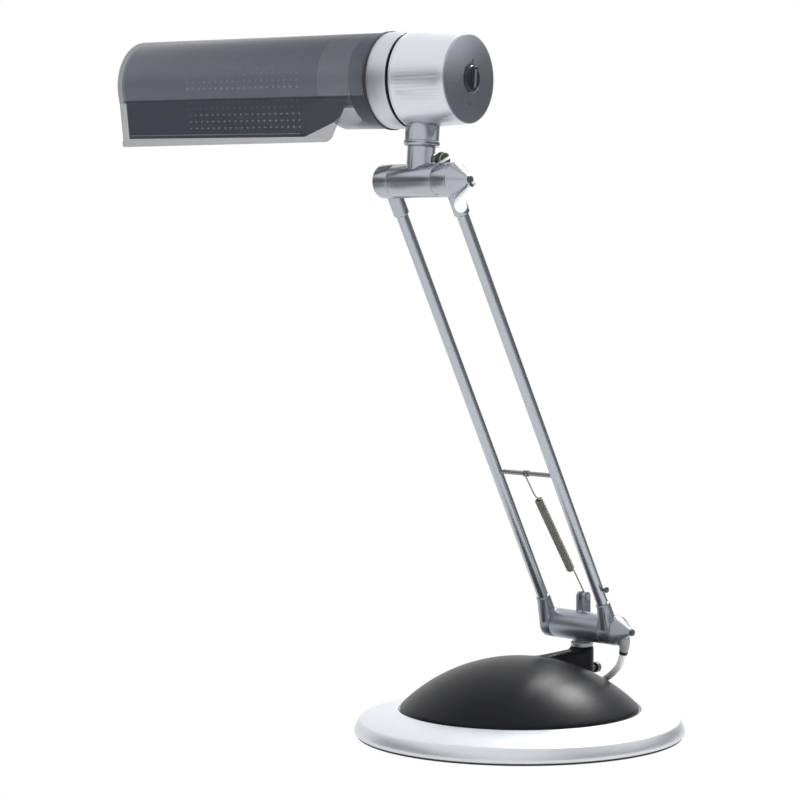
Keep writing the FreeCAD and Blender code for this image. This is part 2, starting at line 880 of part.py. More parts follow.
def joint_cone(start, radius, along):
    """The hollow cone that leads the cable out of the right end of a joint."""
    axle_depth = s.knuckle_end + 2.1
    corners = [
        (s.axle_radius + s.seating, start), (radius, start), (radius, start + 0.8),
        (s.cone_tip_radius, s.cone_tip), (s.cone_bore, s.cone_tip),
        (s.cone_bore, axle_depth), (s.axle_radius + s.seating, axle_depth),
    ]
    return turned(corners, (0, 0, along), ALONG_X)


def lower_cone():
    cone = joint_cone(s.knuckle_end + s.knuckle_gap, s.lower_radius - 0.2, 0)
    piece(cut(cone, boot_solid(float(s.seating))), "lower_cone", PIVOT)


def tip_plug(along):
    """The dark button that closes a cone's tip."""
    end = s.cone_tip + s.grommet_length
    crown = crown_radius(s.grommet_radius, s.grommet_crown)
    corners = [
        (0, s.cone_tip), (s.cone_tip_radius, s.cone_tip), (s.grommet_radius, s.cone_tip + 0.6),
        (s.grommet_radius, end - s.grommet_crown, crown), (0, end),
    ]
    return turned(corners, (0, 0, along), ALONG_X)


def upper_grommet():
    """The upper tip's button has a short nozzle that the cable leaves by."""
    end = point(LOOP_ROUTE[0])
    way = (point(LOOP_ROUTE[1]) - end).normalize()
    nozzle = make("Part::Cone", "Nozzle", Radius1=s.cone_tip_radius - 0.4, Radius2=s.lead_radius,
                  Height=s.nozzle_length)
    put(nozzle, end - way * float(s.nozzle_length), Rotation(Vector(0, 0, 1), way))
    cone = joint_cone(s.knuckle_end, s.upper_radius, 0)
    button = cut(fuse(tip_plug(0), nozzle), cone)
    piece(button, "upper_grommet", UPPER)


def spring_pin():
    length = s.ear_inner + s.ear_thickness
    corners = [
        (0, -length - 1), (s.pin_head_radius, -length - 1), (s.pin_head_radius, -length),
        (s.pin_radius, -length), (s.pin_radius, length), (s.pin_head_radius, length),
        (s.pin_head_radius, length + 1), (0, length + 1),
    ]
    piece(turned(corners, (0, s.ear_rear, s.ear_pin_height), ALONG_X), "spring_pin", PIVOT)


def point(values):
    return Vector(*[float(value) for value in values])


def boot_place(share):
    """Point and direction on the boot's middle line, which is a quadratic curve."""
    start, pull, end = [point(values) for values in BOOT_LINE]
    rest = 1 - share
    place = start * rest ** 2 + pull * (2 * rest * share) + end * share ** 2
    direction = (pull - start) * rest + (end - pull) * share
    return place, direction.normalize()


def boot_solid(extra):
    """Tapered elbow that leads the mains lead out of the lower cone's underside."""
    stations = 6
    rings = []
    for number in range(stations):
        share = number / (stations - 1)
        place, direction = boot_place(share)
        taper = max(0.0, share - 0.4) / 0.6
        radius = float(s.boot_radius) - (float(s.boot_radius) - float(s.boot_end_radius)) * taper ** 1.5
        rings.append(Part.Wire([Part.Circle(place, direction, radius + extra).toShape()]))
    solid = doc.addObject("Part::Feature", "Boot")
    solid.Shape = Part.makeLoft(rings, True, False)
    return solid


def cord_boot():
    piece(boot_solid(0), "cord_boot", PIVOT)


def boot_ring():
    place, direction = boot_place(1)
    ring = make("Part::Cone", "Ring", Radius1=s.boot_ring_radius, Radius2=s.boot_end_radius,
                Height=s.boot_ring_length)
    put(ring, place, Rotation(Vector(0, 0, 1), direction))
    piece(ring, "boot_ring", PIVOT)


def open_knuckle(radius, half):
    """The right end of a joint, bored for the axle; the cone follows it."""
    barrel = rod(radius, half + s.knuckle_gap, s.knuckle_end, NOWHERE, ALONG_X)
    return barrel, [cylinder(axle_bore_radius, s.knuckle_end * 2, NOWHERE, ALONG_X)]


def closed_knuckle(radius, half, end):
    """The left end of a joint, rounded and let in for the disc that closes it."""
    side = ALONG_X.inverted()
    start = half + s.knuckle_gap
    corner = s.end_rounding
    corners = [
        (0, start), (radius, start), (radius, end - corner, corner), (radius - corner, end), (0, end),
    ]
    seat = (-cap_seat(end), 0, 0)
    bores = [
        cylinder(axle_bore_radius, s.knuckle_end * 2, NOWHERE, side),
        cylinder(s.end_cap_radius + s.seating, s.end_cap_thickness * 2, seat, side),
    ]
    return turned(corners, NOWHERE, side), bores


def lower_knuckle(label, across, barrel, bores):
    socket = turned(socket_corners(s.lower_socket_radius, s.lower_socket_reach), (across, 0, 0))
    hole = cylinder(tube_hole_radius, s.lower_socket_reach, (across, 0, s.tube_inset))
    fairing = cylinder(s.fairing_radius, s.fairing_length, (across, -s.fairing_forward, s.fairing_bottom),
                       Rotation(Vector(1, 0, 0), -float(s.fairing_lean)))
    piece(cut(fuse(barrel, socket, fairing), *bores, hole), label, ARM)


def upper_knuckle(label, across, barrel, bores):
    socket = turned(socket_corners(s.upper_socket_radius, s.upper_socket_reach), (across, 0, 0), DOWNWARD)
    hole = cylinder(tube_hole_radius, s.upper_socket_reach, (across, 0, -s.tube_inset), DOWNWARD)
    piece(cut(fuse(barrel, socket), *bores, hole), label, UPPER)


def socket_corners(radius, top):
    edge = 0.6
    return [(0, 0), (radius, 0), (radius, top - edge), (radius - edge, top), (0, top)]


def end_cap(left_end, along):
    """The disc that closes the left end of a joint."""
    seat = cap_seat(left_end)
    face = left_end + 0.2
    corners = [
        (0, seat), (s.end_cap_radius, seat), (s.end_cap_radius, face - 0.5),
        (s.end_cap_radius - 0.5, face), (0, face),
    ]
    return turned(corners, (0, 0, along), ALONG_X.inverted())


def end_caps():
    caps = [end_cap(s.lower_left_end, 0), end_cap(s.upper_left_end, s.arm_length)]
    piece(group(caps), "joint_end_caps", ARM)


def arm_tube(label, sign):
    across = sign * s.arm_half_spacing
    body = tube(s.tube_radius, tube_bore, s.tube_inset, tube_top, (across, 0, 0))
    side = ALONG_X.inverted() if sign > 0 else ALONG_X
    holes = [cylinder(s.crossbar_radius + s.seating, 10, (across, 0, s.crossbar_place), side)]
    if sign > 0:
        place = (across, 0, s.arm_screw_place)
        holes.append(cylinder(s.arm_screw_radius + s.running, 10, place, ALONG_X))
        clearance = lead_clearance()
        clearance.Placement = Placement(Vector(0, 0, float(s.arm_length)), UPRIGHT)
        holes.append(clearance)
    piece(cut(body, *holes), label, ARM)


def crossbar():
    notch = s.crossbar_notch_half
    bead = notch + s.crossbar_bead_width
    end = s.arm_half_spacing - s.crossbar_reach
    half = [
        (s.crossbar_notch_radius, notch), (s.crossbar_bead_radius, notch),
        (s.crossbar_bead_radius, bead), (s.crossbar_radius, bead), (s.crossbar_radius, end), (0, end),
    ]
    mirrored = [(radius, -along) for radius, along in reversed(half)]
    piece(turned(mirrored + half, (0, 0, s.crossbar_place), ALONG_X), "crossbar", ARM)


def arm_screw():
    inner = tube_bore - 0.8
    head = s.tube_radius + s.arm_screw_standoff
    face = head + s.arm_screw_head_height
    crown = crown_radius(s.arm_screw_head_radius, s.arm_screw_crown)
    corners = [
        (0, inner), (s.arm_screw_radius, inner), (s.arm_screw_radius, head), (s.arm_screw_head_radius, head),
        (s.arm_screw_head_radius, face - s.arm_screw_crown, crown), (0, face),
    ]
    piece(turned(corners, (s.arm_half_spacing, 0, s.arm_screw_place), ALONG_X), "arm_screw", ARM)


def lead_path():
    """The cable from the upper joint's tip, round into the right tube and down it."""
    across = float(s.arm_half_spacing)
    points = [point(values) for values in LOOP_ROUTE]
    points.append(Vector(across, 0, -LOOP_ENTRY_DROP))
    points.append(Vector(across, 0, -float(s.arm_length) + float(s.tube_inset) + 1))
    first_reach = 0.45 * (points[1] - points[0]).Length
    half_turn = (points[1] - points[0]).getAngle(points[2] - points[1]) / 2
    edges, used = rounded_path(points, [first_reach / math.tan(half_turn), LOOP_BEND])
    return edges


def arm_lead():
    edges = lead_path()
    radius = float(s.lead_radius)
    shape = swept(edges, radius)
    report_tube("arm_lead", shape, edges, radius)
    free_shape(shape, "arm_lead", UPPER)


def lead_clearance():
    """The way that the cable needs through the socket's and the tube's side."""
    hole = doc.addObject("Part::Feature", "LeadWay")
    hole.Shape = swept(lead_path()[1:4], float(s.lead_radius) + 0.1)
    return hole


def spring_frame():
    """Frame at the clevis pin whose upright axis points to the crossbar."""
    pin = PIVOT.multVec(Vector(0, float(s.ear_rear), float(s.ear_pin_height)))
    bar = ARM.multVec(Vector(0, 0, float(s.crossbar_place)))
    lean = math.degrees(math.atan2(pin.y - bar.y, bar.z - pin.z))
    return Placement(pin, Rotation(Vector(1, 0, 0), lean)), (bar - pin).Length


def arc_of(centre, radius, angles):
    """An arc in the plane across the pin, through three angles from the rear."""
    places = []
    for angle in angles:
        turn = math.radians(angle)
        places.append(centre + Vector(0, radius * math.cos(turn), radius * math.sin(turn)))
    return Part.Arc(*places).toShape()


def helix_point(radius, pitch, start, turns):
    angle = 2 * math.pi * turns
    place = Vector(radius * math.cos(angle), -radius * math.sin(angle), start + pitch * turns)
    direction = Vector(-radius * math.sin(angle), -radius * math.cos(angle), pitch / (2 * math.pi))
    return place, direction.normalize()


def spring_wire(length):
    """Hook round the pin, straight wire, coil, straight wire and hook over the crossbar."""
    low_hook = float(s.pin_radius + s.wire_radius + s.hook_gap)
    high_hook = float(s.crossbar_notch_radius + s.wire_radius + s.hook_gap)
    radius = float(s.spring_radius)
    pitch = float(s.spring_pitch)
    turns = int(float(s.spring_turns))
    start = float(s.spring_start)
    rise = radius * 0.8
    upward = Vector(0, 0, 1)
    first, first_way = helix_point(radius, pitch, start, 0)
    last, last_way = helix_point(radius, pitch, start, turns)
    low_turn = Vector(0, low_hook, start - rise)
    high_turn = Vector(0, -high_hook, last.z + rise)
    edges = [arc_of(Vector(), low_hook, (-250, -125, 0))]
    edges.append(Part.LineSegment(Vector(0, low_hook, 0), low_turn).toShape())
    edges += biarc(low_turn, upward, first, first_way)
    for half in range(2 * turns):
        here = helix_point(radius, pitch, start, half / 2)
        there = helix_point(radius, pitch, start, (half + 1) / 2)
        edges += biarc(here[0], here[1], there[0], there[1])
    edges += biarc(last, last_way, high_turn, upward)
    edges.append(Part.LineSegment(high_turn, Vector(0, -high_hook, length)).toShape())
    edges.append(arc_of(Vector(0, 0, length), high_hook, (180, 70, -40)))
    return edges


def balance_spring():
    frame, length = spring_frame()
    edges = spring_wire(length)
    radius = float(s.wire_radius)
    shape = swept(edges, radius)
    report_tube("balance_spring", shape, edges, radius)
    print("balance_spring least gap", round(least_gap(edges, radius, 0.5), 3))
    free_shape(shape, "balance_spring", frame)


def head_tee():
    half = s.upper_half
    barrel = rod(s.upper_radius, -half, half, NOWHERE, ALONG_X)
    clip_bottom = s.spigot_top - 1.5 - s.clip_width
    groove = s.spigot_radius - 0.7
    corners = [
        (0, 0), (s.neck_radius, 0), (s.neck_radius, s.neck_height), (s.spigot_radius, s.neck_height),
        (s.spigot_radius, clip_bottom), (groove, clip_bottom), (groove, clip_bottom + s.clip_width),
        (s.spigot_radius, clip_bottom + s.clip_width), (s.spigot_radius, s.spigot_top), (0, s.spigot_top),
    ]
    seam_back = ALONG_X.multiply(Rotation(Vector(0, 0, 1), 90))
    lug = cylinder(s.lug_radius, s.clamp_head_start + 4.9, (-5, s.clamp_back, s.clamp_height), seam_back)
    lug_bore = cylinder(s.fastener_radius + s.running, 30, (-7, s.clamp_back, s.clamp_height), ALONG_X)
    bore = cylinder(axle_bore_radius, half * 2 + 2, (-half - 1, 0, 0), ALONG_X)
    lead_bore = cylinder(s.stem_bore, s.spigot_top + 1, NOWHERE)
    solid = cut(fuse(barrel, turned(corners), lug), bore, lead_bore, lug_bore, *washer_seats(half))
    piece(solid, "head_tee", TOP)


def stem_clip():
    bottom = s.spigot_top - 1.5 - s.clip_width + s.running
    top = bottom + s.clip_width - 2 * s.running
    ring = tube(s.clip_radius, s.spigot_radius - 0.7 + s.running, bottom, top)
    mouth = box(s.clip_radius * 2, s.clip_mouth, 4, (0, -s.clip_mouth / 2, bottom - 1))
    piece(cut(ring, mouth), "stem_clip", TOP)


def stem_lead():
    piece(cylinder(s.lead_radius * 0.8, s.spigot_top - 8, (0, 0, 10)), "stem_lead", TOP)


def clamp_screw():
    start = s.clamp_head_start
    face = start + s.clamp_head_height
    corners = [
        (0, -6.5), (s.fastener_radius, -6.5), (s.fastener_radius, start), (s.clamp_head_radius, start),
        (s.clamp_head_radius, face - 0.6), (s.clamp_head_radius - 0.6, face), (0, face),
    ]
    screw = turned(corners, NOWHERE, ALONG_X)
    turn = Rotation(Vector(1, 0, 0), float(s.clamp_slot_angle))
    corner = turn.multVec(Vector(float(face - s.clamp_slot_depth), -8, -float(s.clamp_slot_width) / 2))
    slot = put(make("Part::Box", "Slot", Length=4, Width=16, Height=s.clamp_slot_width), corner, turn)
    place = Placement(Vector(0, float(s.clamp_back), float(s.clamp_height)), UPRIGHT)
    piece(cut(screw, slot), "neck_clamp_screw", TOP.multiply(place))


def head_envelope():
    """What the sleeve's shoulder has to stay clear of: the housing and the turning ring."""
    ring = s.ring_radius + s.free
    edge = s.housing_left + s.housing_lip_width + 0.1
    corners = [
        (0, s.ring_left), (ring, s.ring_left), (ring, edge), (s.housing_radius + s.running, edge),
        (s.housing_end_radius + s.running, s.housing_right), (0, s.housing_right),
    ]
    return turned(corners, NOWHERE, ALONG_X)


def head_sleeve():
    foot = s.sleeve_foot - s.head_height
    rim_top = foot + s.sleeve_rim_height
    inner = s.neck_radius + s.running
    ceiling = s.neck_height + 0.2 - s.head_height
    thread_top = nut_bottom() + s.sleeve_nut_height + 0.5
    lower = [
        (inner, foot), (s.sleeve_rim_radius - s.sleeve_rim_bevel, foot),
        (s.sleeve_rim_radius, foot + s.sleeve_rim_bevel), (s.sleeve_rim_radius, rim_top - 0.4),
        (s.sleeve_radius, rim_top), (s.sleeve_radius, ceiling + 6),
        (s.spigot_radius + s.running, ceiling + 6), (s.spigot_radius + s.running, ceiling), (inner, ceiling),
    ]
    thread = tube(s.sleeve_thread_radius, s.spigot_radius + s.running, ceiling, thread_top)
    piece(fuse(cut(turned(lower), head_envelope()), thread), "head_sleeve", HEAD)


def nut_bottom():
    return pad_bottom() + s.pad_height


def pad_bottom():
    return s.bearing_wall - s.bearing_radius - 0.2


def sleeve_nut():
    nut = hexagon_nut(s.sleeve_nut_radius, s.sleeve_thread_radius + s.seating, s.sleeve_nut_height,
                      (0, 0, nut_bottom()))
    piece(nut, "sleeve_nut", HEAD)


def head_housing():
    left = s.housing_left
    lip = left + s.housing_lip_width
    inner = s.bearing_radius - s.bearing_wall
    corners = [
        (inner, s.bearing_left), (s.bearing_radius, s.bearing_left), (s.bearing_radius, left),
        (s.housing_lip_radius, left), (s.housing_lip_radius, lip), (s.housing_radius, lip),
        (s.housing_end_radius, s.housing_right), (s.housing_end_radius - s.housing_wall, s.housing_right),
    ]
    shell = turned(corners, NOWHERE, ALONG_X)
    pad = cylinder(s.pad_radius, s.pad_height, (0, 0, pad_bottom()))
    hole = cylinder(s.sleeve_thread_radius + s.running, 12, (0, 0, -s.housing_radius - 2))
    piece(cut(fuse(shell, pad), hole), "head_housing", HEAD)


def head_cap():
    start = s.housing_right + s.seating
    edge = start + s.cap_edge
    crown = start + s.cap_rise
    floor = crown - s.knob_depth
    recess = s.knob_radius + 0.4
    shaft = s.knob_shaft_radius + s.running
    plug = s.housing_end_radius - s.housing_wall - s.running
    inside = start - s.cap_wall
    spigot_end = start - s.cap_spigot
    rise = s.cap_rise - s.cap_edge
    bulge = crown_radius(s.cap_radius, rise)
    corners = [
        (shaft, inside), (plug - 1.8, inside), (plug - 1.8, spigot_end), (plug, spigot_end),
        (plug, start), (s.cap_radius, start), (s.cap_radius, edge, bulge), (recess, crown),
        (recess, floor), (shaft, floor),
    ]
    piece(turned(corners, NOWHERE, ALONG_X), "head_cap", HEAD)


def switch_knob():
    floor = s.housing_right + s.seating + s.cap_rise - s.knob_depth + 0.1
    face = s.knob_face
    corners = [
        (0, s.knob_shaft_end), (s.knob_shaft_radius, s.knob_shaft_end), (s.knob_shaft_radius, floor),
        (s.knob_radius, floor), (s.knob_radius, face - 1.0), (s.knob_radius - 1.0, face), (0, face),
    ]
    disc = turned(corners, NOWHERE, ALONG_X)
    bar = box(s.knob_bar_face - face + 1, s.knob_bar_width, s.knob_bar_length,
              (face - 1, -s.knob_bar_width / 2, -s.knob_bar_length / 2))
    pocket = box(2, s.pointer_width + s.seating, s.pointer_length + s.seating,
                 (s.knob_bar_face - s.pointer_depth, -s.pointer_width / 2, -s.pointer_length / 2))
    piece(cut(fuse(disc, bar), pocket), "switch_knob", HEAD)


def knob_pointer():
    pointer = box(s.pointer_depth, s.pointer_width, s.pointer_length,
                  (s.knob_bar_face - s.pointer_depth, -s.pointer_width / 2, -s.pointer_length / 2))
    piece(pointer, "knob_pointer", HEAD)


def switch_body():
    right = s.housing_right + s.seating - s.cap_wall
    left = right - s.switch_length
    side = s.switch_half * 2
    block = box(s.switch_length, side, side, (left, -s.switch_half, -s.switch_half))
    bore_radius = s.knob_shaft_radius + s.running
    bore = cylinder(bore_radius, s.switch_length, (s.knob_shaft_end - 0.5, 0, 0), ALONG_X)
    piece(cut(block, bore), "switch_body", HEAD)


def ballast_board():
    right = s.housing_right - 5
    left = right - s.board_length
    top = s.switch_half + s.board_thickness
    board = box(s.board_length, s.board_width, s.board_thickness, (left, -s.board_width / 2, s.switch_half))
    choke = box(s.choke_size, s.choke_size, s.choke_height, (left + 3, -s.choke_size / 2, top - 0.2))
    capacitor = cylinder(s.capacitor_radius, s.capacitor_length,
                         (right - s.capacitor_length - 1, 0, top + s.capacitor_radius - 0.3), ALONG_X)
    piece(fuse(board, choke, capacitor), "ballast_board", HEAD)


def holder_plate():
    right = s.bearing_left + s.holder_plate_thickness
    radius = s.bearing_radius - s.bearing_wall - s.running
    piece(rod(radius, s.bearing_left, right, NOWHERE, ALONG_X), "holder_plate", HEAD)


def lamp_holder():
    body = rod(s.holder_radius, s.holder_left, s.bearing_left, NOWHERE, ALONG_X)
    width = s.lamp_base_width + 2 * s.free
    height = s.lamp_base_height + 2 * s.free
    pocket = box(s.lamp_base_depth + 1, width, height, (s.holder_left - 1, -width / 2, -height / 2))
    floor = s.holder_left + s.lamp_base_depth - 1
    holes = [cylinder(s.lamp_pin_radius + s.running, 9, (floor, y, 0), ALONG_X) for y in lamp_pin_places()]
    piece(cut(body, pocket, *holes), "lamp_holder", HEAD)


def lamp_pin_places():
    return (-s.lamp_pin_spacing / 2, s.lamp_pin_spacing / 2)


def lamp_base():
    right = s.holder_left + s.lamp_base_depth - 0.2
    block = box(right - s.lamp_base_left, s.lamp_base_width, s.lamp_base_height,
                (s.lamp_base_left, -s.lamp_base_width / 2, -s.lamp_base_height / 2))
    length = s.lamp_pin_length + 1
    pins = [cylinder(s.lamp_pin_radius, length, (right - 1, y, 0), ALONG_X) for y in lamp_pin_places()]
    piece(fuse(block, *pins), "lamp_base", HEAD)


def lamp_tube():
    """Twin glass tubes with round ends, joined by a bridge near their tips."""
    radius = s.lamp_tube_radius
    end = s.lamp_end + radius
    half = s.lamp_tube_spacing / 2
    parts = []
    for y in (-half, half):
        parts.append(cylinder(radius, s.lamp_base_left - end, (end, y, 0), ALONG_X))
        parts.append(ball(radius, (end, y, 0)))
    bridge_place = (end + s.lamp_bridge_inset, -half, 0)
    parts.append(cylinder(s.lamp_bridge_radius, s.lamp_tube_spacing, bridge_place, ALONG_Y))
    piece(fuse(*parts), "lamp_tube", HEAD)


def shade_ring():
    inner = s.bearing_radius + s.running
    flange = s.ring_left + s.ring_flange
    corners = [
        (s.seal_bore, s.ring_left), (s.ring_radius, s.ring_left), (s.ring_radius, s.ring_right - 0.6),
        (s.ring_radius - 0.6, s.ring_right), (inner, s.ring_right), (inner, flange), (s.seal_bore, flange),
    ]
    piece(turned(corners, NOWHERE, ALONG_X), "shade_ring", HEAD)


def shade_seal():
    """Black rim between ring and shade, with the band that the shade slides over."""
    rim = s.ring_left - s.seal_rim
    band = s.shade_radius - s.shade_wall - s.running
    corners = [
        (s.seal_bore, s.seal_left), (band, s.seal_left), (band, rim), (s.seal_radius, rim),
        (s.seal_radius, s.ring_left), (s.seal_bore, s.ring_left),
    ]
    piece(turned(corners, NOWHERE, ALONG_X), "shade_seal", HEAD)


def shade_section(outer, inner, angle, left, right):
    """Part of a tube over the top, down to an angle below level on both sides."""
    full = tube(outer, inner, left, right, NOWHERE, ALONG_X)
    drop = outer * sine(angle)
    window = box(right - left + 2, outer * 2 + 2, outer, (left - 1, -outer - 1, -drop - outer))
    return cut(full, window)


def shade_skirt():
    """Upright flap that hangs from the fold on the near side."""
    left = s.shade_left + 1
    fold = -s.shade_radius * sine(s.fold_angle)
    bottom = s.skirt_bottom
    corner = s.skirt_corner
    shoulder = bottom + 14.0
    corners = [
        (left, fold), (left, bottom), (s.skirt_bottom_right - corner, bottom, corner * 1.6),
        (s.skirt_bottom_right + 1, bottom + corner), (s.skirt_bottom_right + 6, shoulder),
        (s.skirt_top_right, fold),
    ]
    plate = padded(corners, s.shade_wall, "XZ_Plane", (0, -s.skirt_offset + s.shade_wall / 2, 0))
    length = s.skirt_bottom_right - corner - left
    lip = box(length, s.skirt_lip, s.skirt_lip_height, (left, -s.skirt_offset - s.skirt_lip + 0.1, bottom))
    return fuse(plate, lip)


def lamp_shade():
    outer = s.shade_radius
    inner = outer - s.shade_wall
    right = s.ring_left - s.seal_rim - 0.1
    hood = shade_section(outer, inner, s.fold_angle, s.shade_left, right)
    collar = tube(outer, inner, s.collar_left, right, NOWHERE, ALONG_X)
    disc = rod(outer, s.shade_left, s.shade_left + s.shade_wall, NOWHERE, ALONG_X)
    drop = outer * sine(s.fold_angle)
    below = box(s.shade_wall + 2, outer * 2 + 2, outer, (s.shade_left - 1, -outer - 1, -drop - outer))
    far_edge = box(s.collar_left - s.shade_left, s.far_lip * 2, s.far_lip * 2,
                   (s.shade_left, outer * cosine(s.fold_angle) - s.shade_wall * 0.6, -drop))
    solid = fuse(hood, collar, cut(disc, below), shade_skirt(), far_edge)
    piece(solid, "lamp_shade", HEAD)


def reflector():
    outer = s.shade_radius - s.shade_wall - s.running
    shell = shade_section(outer, outer - s.reflector_wall, s.fold_angle, s.reflector_left, s.reflector_right)
    fold = -outer * sine(s.fold_angle)
    flap = box(s.reflector_flap_right - s.reflector_left, s.reflector_wall,
               fold + s.reflector_wall - s.reflector_flap_bottom,
               (s.reflector_left, s.reflector_flap_inset - outer * cosine(s.fold_angle),
                s.reflector_flap_bottom))
    piece(fuse(shell, flap), "reflector", HEAD)


def mains_cord(route):
    edges, radii = rounded_path(route)
    radius = float(s.cord_radius)
    shape = swept(edges, radius)
    report_tube("mains_cord", shape, edges, radius)
    print("mains_cord radii", [round(value, 1) for value in radii])
    free_shape(shape, "mains_cord")


def coil_point(turn):
    """Place on the coil after a number of turns: in on the floor, out on the second layer."""
    half = float(s.coil_turns) / 2
    soft = 0.05
    apart = math.hypot(turn - half, soft) - math.hypot(half, soft)
    radius = float(s.coil_radius) + float(s.coil_pitch) * apart
    climb = min(1.0, max(0.0, (turn - half) * 2 + 0.5))
    height = float(s.cord_radius) + float(s.coil_pitch) * (1 - math.cos(math.pi * climb)) / 2
    angle = math.radians(float(s.coil_start_angle)) + 2 * math.pi * turn
    centre = Vector(float(s.coil_centre_left), float(s.coil_centre_back), 0)
    return centre + Vector(radius * math.cos(angle), radius * math.sin(angle), height)


def coil_way(turn):
    step = 0.002
    return (coil_point(turn + step) - coil_point(turn - step)).normalize()


def coil_edges():
    """The coil's turns as pairs of arcs, a quarter turn to each pair."""
    turns = float(s.coil_turns)
    count = int(round(turns * 4))
    edges = []
    for number in range(count):
        here = turns * number / count
        there = turns * (number + 1) / count
        edges += biarc(coil_point(here), coil_way(here), coil_point(there), coil_way(there))
    return edges


def mains_coil():
    diameter = 2 * float(s.cord_radius)
    start = coil_point(0) - coil_way(0) * diameter
    end = coil_point(float(s.coil_turns))
    lead_out = [end] + [point(values) for values in PLUG_ROUTE]
    lead_in = Part.LineSegment(start, coil_point(0)).toShape()
    lead_edges, radii = rounded_path(lead_out)
    edges = [lead_in] + coil_edges() + lead_edges
    radius = float(s.cord_radius)
    shape = swept(edges, radius)
    report_tube("mains_coil", shape, edges, radius)
    print("mains_coil lead-out radii", [round(value, 1) for value in radii])
    print("mains_coil least gap", round(least_gap(edges, radius, 1.5), 3))
    free_shape(shape, "mains_coil")
    return start


def plug_frame():
    last = point(PLUG_ROUTE[-1])
    way = last - point(PLUG_ROUTE[-2])
    return Placement(last, Rotation(Vector(0, 0, 1), math.degrees(math.atan2(way.y, way.x))))


def mains_plug():
    half = s.plug_height / 2
    start = s.plug_neck
    near = s.seating * 5
    neck = turned([
        (0, near), (s.cord_radius + 0.4, near), (s.plug_neck_radius, start + 1), (0, start + 1),
    ], NOWHERE, ALONG_X)
    end = start + s.plug_length
    side = s.plug_width / 2
    nose = side * 0.62
    corners = [
        (start, -nose * 0.8), (start + 9, -side), (end - 3, -side), (end, -side + 3),
        (end, side - 3), (end - 3, side), (start + 9, side), (start, nose * 0.8),
    ]
    body = padded(corners, s.plug_height)
    bore = s.plug_pin_radius + s.seating
    holes = [cylinder(bore, 6, (end - 5, y, 0), ALONG_X) for y in plug_pin_places()]
    frame = plug_frame()
    frame.Base.z = float(half)
    piece(cut(fuse(neck, body), *holes), "mains_plug", frame)


def plug_pin_places():
    return (-s.plug_pin_spacing / 2, s.plug_pin_spacing / 2)


def plug_pins():
    start = s.plug_neck + s.plug_length - 5
    end = start + 5 + s.plug_pin_length
    tip = s.plug_pin_radius
    corners = [(0, start), (tip, start), (tip, end - 1), (tip - 0.8, end), (0, end)]
    frame = plug_frame()
    frame.Base.z = float(s.plug_height) / 2
    pins = [turned(corners, (0, y, 0), ALONG_X) for y in plug_pin_places()]
    piece(group(pins), "plug_pins", frame)


def build_base():
    base_disc()
    base_weight()
    base_plate()
    foot_ring()
    base_screws()
    dome_cover()
    pivot_socket()
    lock_screw()


def build_swivel():
    swivel_spindle()
    spindle_washer()
    spindle_nut()
    swivel_casting()
    joint_axle("lower_axle", PIVOT, 0, s.lower_left_end)
    friction_washers(s.middle_half, "lower_friction_washers", PIVOT)
    lower_cone()
    piece(tip_plug(0), "lower_grommet", PIVOT)
    spring_pin()
    cord_boot()
    boot_ring()


def build_arms():
    spacing = s.arm_half_spacing
    left_lower = closed_knuckle(s.lower_radius, s.middle_half, s.lower_left_end)
    left_upper = closed_knuckle(s.upper_radius, s.upper_half, s.upper_left_end)
    right_upper, right_bores = open_knuckle(s.upper_radius, s.upper_half)
    lower_knuckle("lower_knuckle_left", -spacing, *left_lower)
    lower_knuckle("lower_knuckle_right", spacing, *open_knuckle(s.lower_radius, s.middle_half))
    upper_knuckle("upper_knuckle_left", -spacing, *left_upper)
    upper_knuckle("upper_knuckle_right", spacing, right_upper, right_bores + [lead_clearance()])
    arm_tube("arm_tube_left", -1)
    arm_tube("arm_tube_right", 1)
    crossbar()
    end_caps()
    joint_axle("upper_axle", ARM, s.arm_length, s.upper_left_end)
    piece(joint_cone(s.knuckle_end, s.upper_radius, s.arm_length), "upper_cone", ARM)
    upper_grommet()
    arm_lead()
    balance_spring()
    arm_screw()


def build_neck():
    head_tee()
    friction_washers(s.upper_half, "upper_friction_washers", TOP)
    stem_clip()
    stem_lead()
    clamp_screw()


def build_head():
    head_housing()
    head_sleeve()
    sleeve_nut()
    head_cap()
    switch_knob()
    knob_pointer()
    switch_body()
    ballast_board()
    holder_plate()
    lamp_holder()
    lamp_base()
    lamp_tube()
    shade_ring()
    shade_seal()
    lamp_shade()
    reflector()


def build_lead():
    coil_start = mains_coil()
    mains_cord([point(values) for values in CORD_ROUTE] + [coil_start])
    mains_plug()
    plug_pins()


def check_document():
    doc.recompute()
    for obj in doc.Objects:
        if "Invalid" in obj.State or "Error" in obj.State:
            raise RuntimeError("failed object " + obj.Name + " of " + obj.TypeId)
    for label, obj in pieces.items():
        if obj.Shape.isNull() or not obj.Shape.isValid() or not obj.Shape.Solids:
            raise RuntimeError("bad shape in " + label)


def write_pieces():
    os.makedirs("parts", exist_ok=True)
    for label, obj in pieces.items():
        obj.Shape.exportStep(os.path.join("parts", label + ".step"))
    print(len(pieces), "pieces written")


build_base()
build_swivel()
build_arms()
build_neck()
build_head()
build_lead()
check_document()
write_pieces()
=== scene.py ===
import json
import math

import bmesh
import bpy
from mathutils import Matrix, Vector

